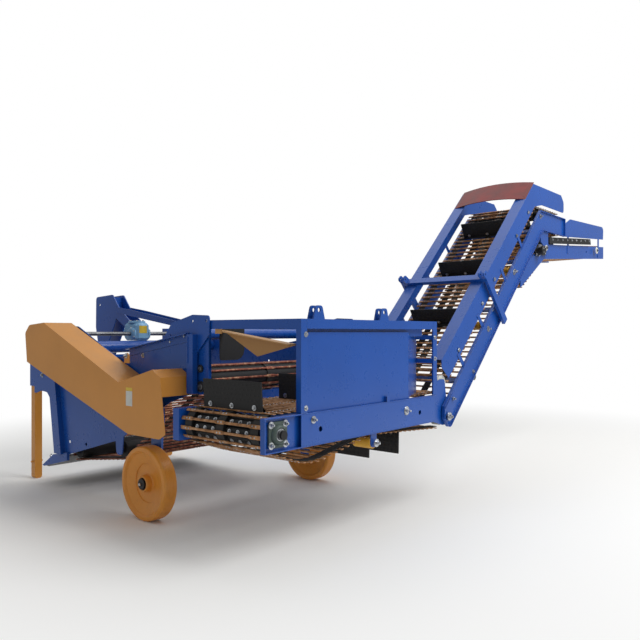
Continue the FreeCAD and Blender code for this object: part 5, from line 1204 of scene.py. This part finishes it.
# ---------------------------------------------------------------- stage
class HARVESTER_OT_stage(bpy.types.Operator):
    """Set out the floor, the lamps and the camera"""
    bl_idname = "harvester.stage"
    bl_label = "Stage"

    def execute(self, context):
        self.lay_floor()
        self.light(context.scene)
        self.aim(context.scene)
        context.scene.view_settings.view_transform = "Standard"
        return {"FINISHED"}

    def lay_floor(self):
        """A plain pale floor that takes the machine's soft shadow and turns to plain white further out."""
        material, tree, where = start_material("pale_floor")
        colours = bpy.context.scene.harvester_colours
        pale = add(tree, "ShaderNodeBsdfDiffuse", {"Color": (*colours.floor, 1)})
        white = add(tree, "ShaderNodeEmission", {"Color": (1, 1, 1, 1), "Strength": 1.0})
        away = add(tree, "ShaderNodeVectorMath", {0: where}, operation="LENGTH")
        share = add(tree, "ShaderNodeMapRange",
                    {"Value": away.outputs["Value"], "From Min": 2.6, "From Max": 6.0},
                    interpolation_type="SMOOTHSTEP")
        seen = add(tree, "ShaderNodeLightPath")
        factor = add(tree, "ShaderNodeMath", {0: share.outputs["Result"], 1: seen.outputs["Is Camera Ray"]},
                     operation="MULTIPLY")
        both = add(tree, "ShaderNodeMixShader",
                   {0: factor.outputs["Value"], 1: pale.outputs["BSDF"], 2: white.outputs["Emission"]})
        add(tree, "ShaderNodeOutputMaterial", {"Surface": both.outputs["Shader"]})
        reach = 60.0
        mesh = bpy.data.meshes.new("floor")
        corners = [(-reach, -reach, 0), (reach, -reach, 0), (reach, reach, 0), (-reach, reach, 0)]
        mesh.from_pydata(corners, [], [(0, 1, 2, 3)])
        mesh.materials.append(material)
        floor = bpy.data.objects.new("floor", mesh)
        bpy.context.scene.collection.objects.link(floor)

    def light(self, scene):
        """Soft light from two wide lamps, behind and above the machine, with an even sky round it."""
        world = bpy.data.worlds.new("studio")
        scene.world = world
        world.use_nodes = True
        tree = world.node_tree
        tree.nodes.clear()
        seen = add(tree, "ShaderNodeLightPath")
        plain = add(tree, "ShaderNodeMath",
                    {0: seen.outputs["Is Camera Ray"], 1: seen.outputs["Is Transmission Ray"]},
                    operation="MAXIMUM")
        fill = add(tree, "ShaderNodeBackground", {"Color": (1, 1, 1, 1), "Strength": 0.42})
        white = add(tree, "ShaderNodeBackground", {"Color": (1, 1, 1, 1), "Strength": 1.0})
        both = add(tree, "ShaderNodeMixShader",
                   {0: plain.outputs["Value"], 1: fill.outputs["Background"],
                    2: white.outputs["Background"]})
        add(tree, "ShaderNodeOutputWorld", {"Surface": both.outputs["Shader"]})
        for name, place, size, power in (
            ("key", (1.0, -6.0, 6.5), 5.0, 430.0),
            ("roof", (1.5, 0.5, 7.0), 7.0, 150.0),
        ):
            lamp = bpy.data.lights.new(name, "AREA")
            lamp.size = size
            lamp.energy = power
            holder = bpy.data.objects.new(name, lamp)
            holder.location = place
            aim = Vector((0, 0, 0.8)) - Vector(place)
            holder.rotation_euler = aim.to_track_quat("-Z", "Y").to_euler()
            scene.collection.objects.link(holder)

    def aim(self, scene):
        """The camera stands behind the machine's left corner at a person's chest height."""
        camera = bpy.data.cameras.new("camera")
        holder = bpy.data.objects.new("camera", camera)
        camera.sensor_width = 36
        camera.lens = 37.125
        camera.shift_y = 0.01875
        camera.clip_end = 200
        holder.location = spot(-3.445, -2.465, 1.265)
        holder.rotation_euler = (math.pi / 2, 0, math.radians(40.6 - 90))
        scene.collection.objects.link(holder)
        scene.camera = holder


class HARVESTER_PT_panel(bpy.types.Panel):
    """The machine's sizes and colours, and a button for each group of pieces"""
    bl_label = "Peanut harvester"
    bl_idname = "HARVESTER_PT_panel"
    bl_space_type = "VIEW_3D"
    bl_region_type = "UI"
    bl_category = "Harvester"

    def draw(self, context):
        for group in (context.scene.harvester_sizes, context.scene.harvester_colours):
            for name in group.__annotations__:
                self.layout.prop(group, name)
        for operator in OPERATORS:
            self.layout.operator(operator.bl_idname)


OPERATORS = (
    HARVESTER_OT_finishes,
    HARVESTER_OT_rod_belts,
    HARVESTER_OT_wheels,
    HARVESTER_OT_bearings,
    HARVESTER_OT_drives,
    HARVESTER_OT_covers,
    HARVESTER_OT_panels,
    HARVESTER_OT_fasteners,
    HARVESTER_OT_stage,
)
GROUPS = (HarvesterSizes, HarvesterColours)


def register():
    for thing in (*GROUPS, *OPERATORS, HARVESTER_PT_panel):
        bpy.utils.register_class(thing)
    bpy.types.Scene.harvester_sizes = bpy.props.PointerProperty(type=HarvesterSizes)
    bpy.types.Scene.harvester_colours = bpy.props.PointerProperty(type=HarvesterColours)


def unregister():
    del bpy.types.Scene.harvester_sizes
    del bpy.types.Scene.harvester_colours
    for thing in reversed((*GROUPS, *OPERATORS, HARVESTER_PT_panel)):
        bpy.utils.unregister_class(thing)


def main():
    """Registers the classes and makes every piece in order."""
    random.seed(7)
    register()
    for operator in OPERATORS:
        group, name = operator.bl_idname.split(".")
        getattr(getattr(bpy.ops, group), name)()


if __name__ == "__main__":
    main()
